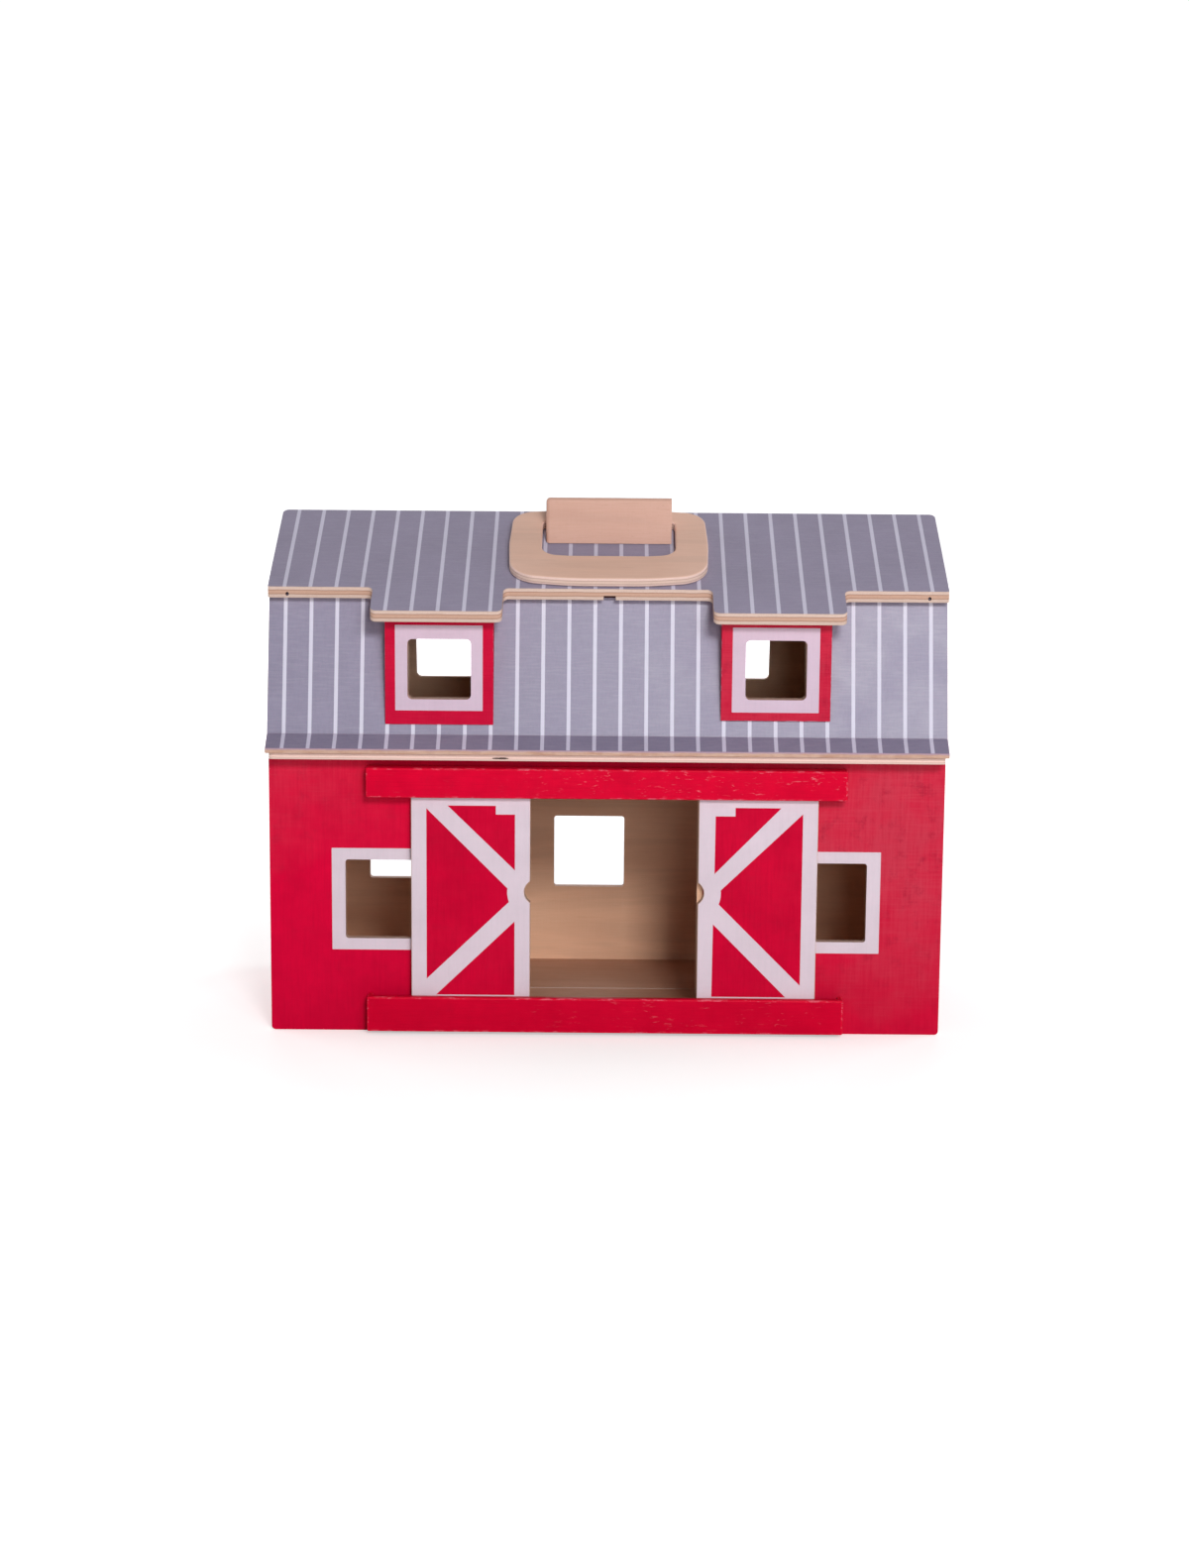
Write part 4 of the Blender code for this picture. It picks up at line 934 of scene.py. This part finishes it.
def wall_pieces():
    """Front and rear walls and end walls: paint outside, bare plywood inside."""
    margin = sizes().doorway_margin
    bare_half = DOORWAY_HALF + margin
    bare_top = DOORWAY_HEAD + margin
    for side, word in SIDES:
        node = f"{word}_wall"
        outward = Y_AXIS * side
        edge = f"wall_edge_{word}"
        work = board_work(node)
        if side == FRONT:
            for point, normal in (
                ((-bare_half, 0, 0), X_AXIS), ((bare_half, 0, 0), X_AXIS), ((0, 0, bare_top), Z_AXIS)
            ):
                faces = [face for face in work.faces if facing(face, outward)]
                cut_faces(work, faces, Vector(point), normal)
        usual = sided(outward, "red_wall", "room_wood", edge)

        def pick(face):
            centre = face.calc_center_median()
            bare = side == FRONT and abs(centre.x) < bare_half and centre.z < bare_top
            return "room_wood" if bare and facing(face, outward) else usual(face)

        wall = dressed(
            f"painted_{node}", node, f"{word}_half", "red_paint", [edge, "red_wall", "room_wood"],
            pick, work
        )
        soften(wall, sizes().edge_rounding)
        for end, end_word in ENDS:
            node = f"{word}_{end_word}_end_wall"
            edge = f"end_edge_{end_word}"
            board = dressed(
                f"painted_{node}", node, f"{word}_half", "red_paint",
                [edge, "red_wall", "room_end_wood"],
                sided(X_AXIS * end, "red_wall", "room_end_wood", edge)
            )
            soften(board, sizes().edge_rounding)


def border(name, hole, plane, body, look="white_print", corner=WINDOW_CORNER, outer=None):
    """Printed border round a (left, right, bottom, top) window, up to an outer edge."""
    if outer is None:
        left, right, bottom, top = hole
        outer = (left - BORDER_SIDE, right + BORDER_SIDE, bottom - BORDER_END, top + BORDER_END)
    loops = [rectangle(*outer, BORDER_CORNER), rectangle(*hole, corner)]
    printed(name, loops, plane, body, look)


def turned_hole(hole, rise=1.0, foot=0.0):
    """Hole as seen from behind, its heights measured from a foot along a lean."""
    left, right, bottom, top = hole
    return (-right, -left, (bottom - foot) * rise, (top - foot) * rise)


def window_borders():
    """White borders of the walls' windows and of the attic windows."""
    front = (Vector((0, -WALL_REACH, 0)), X_AXIS, Z_AXIS)
    for word, hole in FRONT_WINDOWS.items():
        border(f"{word}_window_border", hole, front, "front_half")
    rear = (Vector((0, WALL_REACH, 0)), -X_AXIS, Z_AXIS)
    for word, hole in REAR_WINDOWS.items():
        border(f"rear_{word}_window_border", turned_hole(hole), rear, "rear_half")
    up = Vector((0, -math.sin(LOWER_ROOF_LEAN), math.cos(LOWER_ROOF_LEAN)))
    attic = (Vector((0, LOWER_ROOF_FOOT, LOFT_TOP)), -X_AXIS, up)
    for word, hole in ATTIC_WINDOWS.items():
        leaning = turned_hole(hole, 1 / math.cos(LOWER_ROOF_LEAN), LOFT_TOP)
        border(
            f"attic_{word}_window_border", leaning, attic, "rear_half", "frame_print", ATTIC_CORNER
        )


def nose_void():
    """Mesh of the ragged gap where a patch of ply is missing from the loft board's nose."""
    work = bmesh.new()
    bmesh.ops.create_icosphere(work, subdivisions=3, radius=0.5)
    for vert in work.verts:
        turn = vert.co.x * VOID_TURNS
        fine = VOID_FINE_WAVE * math.sin(turn * VOID_FINE_TURNS + 1.0)
        waves = (1.0, 1.0, 1 + VOID_WAVE * math.sin(turn) + fine)
        shares = zip(vert.co, VOID_SIZE, waves)
        vert.co = Vector([part * size * wave for part, size, wave in shares]) + VOID_PLACE
    return new_mesh("nose_void", work)


def in_void(face):
    """Whether a face lies inside the gap in the front loft board's nose."""
    far = face.calc_center_median() - VOID_PLACE
    length, depth, height = VOID_SIZE
    return NEAR < far.y < depth and abs(far.x) < length / 2 and abs(far.z) < height / 2


def floor_pieces():
    """Floors and loft floors: bare faces and layered edges."""
    for _, word in SIDES:
        for node, edge, slot in (
            (f"{word}_floor", "floor_edge", "plain_ply"),
            (f"{word}_loft_floor", "loft_edge", "birch_ply"),
        ):
            usual = sided(Z_AXIS, "floor_wood", "floor_wood", edge)
            work = board_work(node)
            if node == "front_loft_floor":
                work = new_work(carved(node, new_mesh(node, work), nose_void()))
            # The nose's void gets near-black wood: painted shade
            board = dressed(
                f"bare_{node}", node, f"{word}_half", slot, [edge, "floor_wood", "bored"],
                lambda face: "bored" if in_void(face) else usual(face), work
            )
            soften(board, sizes().floor_rounding)


# Roofs

def in_bore(face):
    """Whether a small face lies in a drilled hole or in the notch of a roof's edge."""
    x = face.calc_center_median().x
    hole = abs(abs(x) - EDGE_HOLE_PLACE) < EDGE_HOLE_REACH
    notch = abs(x - EDGE_NOTCH_PLACE) < EDGE_NOTCH_REACH
    return face.calc_area() < BORE_AREA and (hole or notch)


def roof_pieces():
    """Upper and lower roofs with their stripes, and the eaves."""
    for side, word in SIDES:
        body = f"{word}_half"
        outward = Y_AXIS * side
        for node, axis, edge, grey, stripe in (
            (f"{word}_upper_roof", slope_axis(side), f"roof_edge_{word}", "roof_grey",
             "upper_stripe"),
            (f"{word}_lower_roof", lean_axis(side), f"lean_edge_{word}", "lower_roof_grey",
             "roof_stripe"),
        ):
            work = board_work(node)
            cut_stripes(work, lambda face: facing(face, axis, FLAT_SHARE))

            def pick(face):
                if facing(face, axis, FLAT_SHARE):
                    return stripe if on_stripe(face) else grey
                if facing(face, -axis, FLAT_SHARE):
                    return "attic_wood"
                # Drilled holes and the notch get near-black wood: painted shade
                return "bored" if in_bore(face) else edge

            board = dressed(
                f"striped_{node}", node, body, "grey_paint",
                [edge, grey, stripe, "attic_wood", "bored"], pick, work
            )
            soften(board, sizes().edge_rounding)

        def sloped(face):
            return facing(face, Z_AXIS, SLOPED_SHARE) and facing(face, outward, SLOPED_SHARE)

        def pick_eave(face):
            if sloped(face):
                return "eave_stripe" if on_stripe(face) else "eave_grey"
            return "eave_lip"

        node = f"{word}_eave"
        work = board_work(node)
        cut_stripes(work, sloped)
        eave = dressed(
            f"striped_{node}", node, body, "dark_grey_paint",
            ["eave_lip", "eave_grey", "eave_stripe"], pick_eave, work
        )
        soften(eave, sizes().edge_rounding)


# Dormers

def dormer_pieces():
    """Dormer blocks with their white window frames."""
    face_plane = (Vector((0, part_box("left_dormer")[0][1], 0)), X_AXIS, Z_AXIS)
    for word, hole in DORMER_WINDOWS.items():
        node = f"{word}_dormer"
        left, right, bottom, top = hole

        def pick(face):
            centre = face.calc_center_median()
            in_x = left - WELD < centre.x < right + WELD
            in_z = bottom - WELD < centre.z < top + WELD
            return "birch_face" if in_x and in_z and not facing(face, -Y_AXIS) else "red_dormer"

        block = dressed(
            f"painted_{node}", node, "front_half", "red_paint",
            ["worn_red", "red_dormer", "birch_face"], pick
        )
        soften(block, sizes().edge_rounding)
        border(
            f"{word}_dormer_frame", hole, face_plane, "front_half", "frame_print",
            DORMER_WINDOW_CORNER, DORMER_FRAMES[word]
        )


# Rails and doors

def rail_pieces():
    """Glossy red rails that hold the doors."""
    for node, look in (("upper_door_rail", "red_rail"), ("lower_door_rail", "red_lower_rail")):
        rail = dressed(
            f"painted_{node}", node, "front_half", "red_paint", ["worn_rail", look],
            lambda face: look
        )
        soften(rail, sizes().rail_rounding, 4)


def arc_points(centre, radius, start_height, end_height):
    """Points of an arc right of a centre, between two heights."""
    start = math.asin((start_height - centre[1]) / radius)
    end = math.asin((end_height - centre[1]) / radius)
    steps = max(2, math.ceil(abs(end - start) / ARC_STEP))
    angles = [start + (end - start) * step / steps for step in range(steps + 1)]
    return [
        Vector((centre[0] + radius * math.cos(angle), centre[1] + radius * math.sin(angle)))
        for angle in angles
    ]


def door_trim_loops(word):
    """Edge and red openings of a door's white trim, from its inner edge outwards."""
    low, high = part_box(f"{word}_door")
    bottom = low[2] + TRIM_INSET
    top = high[2] - TRIM_INSET
    reach = NOTCH_RADIUS + TRIM_INSET
    half_notch = math.sqrt(reach ** 2 - (TRIM_INSET - NOTCH_CENTRE[0]) ** 2)
    notch = arc_points(
        NOTCH_CENTRE, reach, NOTCH_CENTRE[1] - half_notch, NOTCH_CENTRE[1] + half_notch
    )
    outside = DOOR_WIDTH - TRIM_INSET
    edge = [
        (TRIM_INSET, top), *reversed(notch), (TRIM_INSET, bottom), (outside, bottom), (outside, top)
    ]
    openings = TRIM_OPENINGS[word]
    tip = arc_points(NOTCH_CENTRE, BULGE_RADIUS, *openings["bulge"])
    return [edge, [*openings["middle"], *tip], openings["upper"], openings["lower"]]


def door_pieces():
    """Sliding doors, red with a white cross-braced trim."""
    for end, word in ENDS:
        node = f"{word}_door"
        door = dressed(
            f"painted_{node}", node, node, "red_paint", ["door_edge", "red_door", "room_wood"],
            sided(-Y_AXIS, "red_door", "room_wood", "door_edge")
        )
        soften(door, sizes().edge_rounding)
        loops = [[(end * u, v) for u, v in loop] for loop in door_trim_loops(word)]
        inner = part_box(node)[1 if end == LEFT else 0][0]
        plane = (Vector((inner, -DOOR_FRONT_REACH, 0)), X_AXIS, Z_AXIS)
        printed(f"{node}_trim", loops, plane, node)


# Handle

def ring_loops():
    """Outer edge and opening of the carrying ring, V running up the slope."""
    half = RING_WIDTH / 2
    middle = -(RING_TOP + RING_BOTTOM) / 2
    low = RING_BOTTOM_BOW - RING_BOTTOM
    high = -RING_TOP - RING_TOP_ARCH
    side = half - RING_TOP_NARROWING
    outer = rounded([
        (RING_SIDE_BOW - half, low, RING_BOTTOM_CORNER), (-RING_BEND, -RING_BOTTOM, RING_BOW_RADIUS),
        (RING_BEND, -RING_BOTTOM, RING_BOW_RADIUS), (half - RING_SIDE_BOW, low, RING_BOTTOM_CORNER),
        (half, middle, RING_BOW_RADIUS), (side, high, RING_TOP_CORNER), (RING_BEND, -RING_TOP, 0.0),
        (-RING_BEND, -RING_TOP, 0.0), (-side, high, RING_TOP_CORNER),
        (-half, middle, RING_BOW_RADIUS),
    ])
    hole = OPENING_WIDTH / 2
    inner = rounded([
        (-hole, OPENING_BOW - OPENING_BOTTOM, OPENING_CORNER), (-RING_BEND, -OPENING_BOTTOM, 0.0),
        (RING_BEND, -OPENING_BOTTOM, 0.0), (hole, OPENING_BOW - OPENING_BOTTOM, OPENING_CORNER),
        (hole, -OPENING_TOP, OPENING_TOP_CORNER), (-hole, -OPENING_TOP, OPENING_TOP_CORNER),
    ])
    return [outer, inner]


def handle_pieces():
    """Birch carrying ring and the beech block that it lies round."""
    origin = Vector((0, 0, RIDGE_HEIGHT)) + OFF_SLOPE * (GAP + PLY / 2)
    plate = plate_mesh("handle_ring", ring_loops(), PLY, placed(origin, X_AXIS, UP_SLOPE))
    ring = dressed(
        "birch_handle_ring", "handle_ring", "handle", "birch_ply", ["ring_edge", "birch_face"],
        sided(OFF_SLOPE, "birch_face", "birch_face", "ring_edge"), new_work(plate)
    )
    soften(ring, sizes().ring_rounding, 4, -1)
    node = "handle_keeper_block"
    work = board_work(node)
    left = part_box(node)[0][0]
    corners = [
        edge for edge in work.edges
        if all(abs(vert.co.x - left) < NEAR for vert in edge.verts)
        and any(abs(face.normal.x) < 0.5 and face.normal.z > -0.5 for face in edge.link_faces)
    ]
    bmesh.ops.bevel(
        work, geom=corners, offset=sizes().block_rounding, segments=8, profile=0.5,
        affect="EDGES", clamp_overlap=True
    )
    block = dressed(
        "beech_keeper_block", node, "front_half", "beech", ["beech_face"],
        lambda face: "beech_face", work
    )
    soften(block, sizes().edge_rounding, 3)


# Hinges

def leaf_pieces():
    """Zinc-plated leaves of the hinges."""
    for node, body in (
        ("front_lower_hinge_leaf", "front_half"), ("front_upper_hinge_leaf", "front_half"),
        ("rear_lower_hinge_leaf", "rear_half"), ("rear_upper_hinge_leaf", "rear_half"),
        ("handle_roof_leaf", "front_half"), ("handle_ring_leaf", "handle"),
    ):
        leaf = dressed(f"plated_{node}", node, body, "steel", ["steel"], lambda face: "steel")
        soften(leaf, sizes().steel_rounding)


def node_points(node):
    """Corners of a node's packed solid."""
    return [vert.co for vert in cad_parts[node].data.vertices]


def pin_pieces():
    """Hinge pins with domed heads and chamfered feet."""
    for node, axis in (
        ("lower_hinge_pin", Z_AXIS), ("upper_hinge_pin", Z_AXIS), ("handle_hinge_pin", X_AXIS),
    ):
        low, high = (Vector(corner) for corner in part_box(node))
        middle = (low + high) / 2
        points = node_points(node)
        heights = [point.dot(axis) for point in points]
        half = (max(heights) - min(heights)) / 2
        radii = {}
        for way, level in ((1, max(heights)), (-1, min(heights))):
            radii[way] = max(
                (point - axis * (point - middle).dot(axis) - middle).length
                for point, height in zip(points, heights) if abs(height - level) < WELD
            )
        way = 1 if radii[1] > radii[-1] else -1
        head = radii[way]
        shaft = radii[-way]
        profile = [(0.0, half)]
        for step in range(1, PIN_DOME_STEPS + 1):
            angle = step * math.pi / (2 * PIN_DOME_STEPS)
            profile.append((head * math.sin(angle), half - PIN_DOME * (1 - math.cos(angle))))
        profile += [
            (head, half - PIN_HEAD), (shaft, half - PIN_HEAD), (shaft, PIN_CHAMFER - half),
            (shaft - PIN_CHAMFER, -half), (0.0, -half),
        ]
        mesh = turned_mesh(f"plated_{node}", profile, PIN_FACETS)
        mesh.transform(along_axis(middle, axis * way))
        smooth(mesh, PIN_SHARP_EDGE)
        mesh.materials.append(material("steel"))
        new_piece(f"plated_{node}", mesh, "front_half", "steel", node)


def screw_mesh(name):
    """Countersunk screw with a cross recess and a threaded shank, head up at zero."""
    profile = [
        (0.0, 0.0), (SCREW_HEAD_RADIUS - SCREW_HEAD_EDGE, 0.0),
        (SCREW_HEAD_RADIUS, -SCREW_HEAD_EDGE), (THREAD_RADIUS, -SCREW_HEAD_DEPTH),
    ]
    for turn in range(THREAD_TURNS):
        height = -THREAD_START - turn * THREAD_PITCH
        profile += [
            (THREAD_CORE, height), (THREAD_RADIUS, height - THREAD_FLANK),
            (THREAD_CORE, height - 2 * THREAD_FLANK),
        ]
    profile += [(SCREW_TIP_RADIUS, -SCREW_TIP_START), (0.0, -SCREW_LENGTH)]
    cross = [(CROSS_HALF, CROSS_HALF), (CROSS_ARM, CROSS_HALF), (CROSS_ARM, -CROSS_HALF)]
    for _ in range(3):
        cross += [(v, -u) for u, v in cross[-3:]]
    recess = plate_mesh(name + "_recess", [cross], CROSS_DEPTH * 2, Matrix())
    made = carved(name, turned_mesh(name, profile, SCREW_FACETS), recess)
    smooth(made, SHARP_EDGE)
    return made


def screw_pieces():
    """Cross-head screws of all hinges, each turned a different way."""
    first = screw_mesh("plated_screw")
    made = 0
    for group, count, axis, body in (
        ("front_hinge_screw", 4, -X_AXIS, "front_half"),
        ("rear_hinge_screw", 4, -X_AXIS, "rear_half"),
        ("handle_roof_screw", 2, OFF_SLOPE, "front_half"),
        ("handle_ring_screw", 2, UP_SLOPE, "handle"),
    ):
        for number in range(count):
            made += 1
            node = f"{group}_{number + 1}"
            points = node_points(node)
            top = max(point.dot(axis) for point in points)
            cap = [point for point in points if abs(point.dot(axis) - top) < CAP_DEPTH]
            low = Vector([min(values) for values in zip(*cap)])
            high = Vector([max(values) for values in zip(*cap)])
            mesh = first.copy()
            mesh.transform(along_axis((low + high) / 2, axis, made * SCREW_TURN))
            mesh.materials.append(material("steel"))
            new_piece(f"plated_{node}", mesh, body, "steel", node)


# Floor, light and camera

def pale_floor():
    """Pale sheet under the barn, which glows towards the camera away from the barn."""
    work = bmesh.new()
    bmesh.ops.create_circle(work, cap_ends=True, radius=FLOOR_RADIUS, segments=FLOOR_SEGMENTS)
    mesh = new_mesh("pale_floor", work)
    look = Surface("pale_floor")
    paper = look.noise(6.0, 2.0, 0.5)
    look.ground(paper, (0.78, 0.80, 0.80, 1.0), (0.81, 0.83, 0.83, 1.0), 0.0, 1.0)
    reach = look.add("VectorMath", {0: look.where}, operation="LENGTH").outputs["Value"]
    glow = look.spread(reach, NEAR_GLOW, FAR_GLOW, NEAR_REACH, FAR_REACH)
    look.feed(look.shader.inputs["Emission Color"], WHITE)
    look.feed(look.shader.inputs["Emission Strength"], look.times(look.seen(), glow))
    mesh.materials.append(look.finished(look.spread(paper, 0.85, 0.95), paper, 0.0, 0.2))
    new_object("pale_floor", mesh)


def studio():
    """Pale floor, soft studio light and the camera at the picture's angle."""
    pale_floor()
    scene = bpy.context.scene
    world = bpy.data.worlds.new("studio_air")
    world.use_nodes = True
    air = Nodes(world.node_tree)
    background = world.node_tree.nodes["Background"].inputs
    air.feed(background["Color"], WHITE)
    air.feed(background["Strength"], air.spread(air.seen(), AIR_LIGHT, AIR_SEEN, 0.0, 1.0))
    scene.world = world
    for name, place, size, power in LIGHTS:
        light = bpy.data.lights.new(name, "AREA")
        light.shape = "SQUARE"
        light.size = size
        light.energy = power
        lamp = new_object(name, light)
        lamp.location = place
        lamp.rotation_mode = "QUATERNION"
        lamp.rotation_quaternion = (LIGHT_TARGET - Vector(place)).to_track_quat("-Z", "Y")
    view = bpy.data.cameras.new("camera")
    view.sensor_fit = "VERTICAL"
    view.sensor_width = CAMERA_SENSOR
    view.sensor_height = CAMERA_SENSOR
    view.lens = CAMERA_LENS
    view.clip_start = CAMERA_NEAR
    view.clip_end = CAMERA_FAR
    camera = new_object("camera", view)
    camera.location = CAMERA_PLACE
    camera.rotation_mode = "QUATERNION"
    turn = (
        Matrix.Rotation(CAMERA_YAW, 3, "Z") @ Matrix.Rotation(math.pi / 2 - CAMERA_PITCH, 3, "X")
        @ Matrix.Rotation(CAMERA_ROLL, 3, "Z")
    )
    camera.rotation_quaternion = turn.to_quaternion()
    scene.camera = camera
    scene.view_settings.view_transform = "Standard"


MAKING = (
    ("Walls", "Make the painted walls and gable ends", wall_pieces),
    ("Window Borders", "Print the white borders of the wall windows", window_borders),
    ("Floors", "Make the floors and loft floors", floor_pieces),
    ("Roofs", "Make the striped roofs and eaves", roof_pieces),
    ("Dormers", "Make the dormers and their frames", dormer_pieces),
    ("Rails", "Make the door rails", rail_pieces),
    ("Doors", "Make the sliding doors and their trim", door_pieces),
    ("Handle", "Make the carrying ring and its keeper block", handle_pieces),
    ("Hinge Leaves", "Make the leaves of the hinges", leaf_pieces),
    ("Hinge Pins", "Make the pins of the hinges", pin_pieces),
    ("Hinge Screws", "Make the screws of the hinges", screw_pieces),
    ("Studio", "Make the floor, the light and the camera", studio),
)
OPERATORS = [operator_class(*entry) for entry in MAKING]


class BARN_PT_panel(bpy.types.Panel):
    """Sidebar panel with the barn's sizes, colours and makers."""

    bl_label = "Toy Barn"
    bl_space_type = "VIEW_3D"
    bl_region_type = "UI"
    bl_category = "Barn"

    def draw(self, context):
        for group in (context.scene.barn_sizes, context.scene.barn_colours):
            column = self.layout.column(align=True)
            for name in group.bl_rna.properties.keys():
                if name not in {"rna_type", "name"}:
                    column.prop(group, name)
        column = self.layout.column(align=True)
        for operator in OPERATORS:
            column.operator(operator.bl_idname)


CLASSES = (BarnSizes, BarnColours, *OPERATORS, BARN_PT_panel)


def register():
    """Register the classes and hang the properties on the scene."""
    for cls in CLASSES:
        bpy.utils.register_class(cls)
    bpy.types.Scene.barn_sizes = PointerProperty(type=BarnSizes)
    bpy.types.Scene.barn_colours = PointerProperty(type=BarnColours)


def unregister():
    """Take the properties and classes away again."""
    del bpy.types.Scene.barn_colours
    del bpy.types.Scene.barn_sizes
    for cls in reversed(CLASSES):
        bpy.utils.unregister_class(cls)


def main():
    """Make every piece and the studio, then write both boxes."""
    register()
    for operator in OPERATORS:
        group, name = operator.bl_idname.split(".")
        getattr(getattr(bpy.ops, group), name)()


if __name__ == "__main__":
    main()
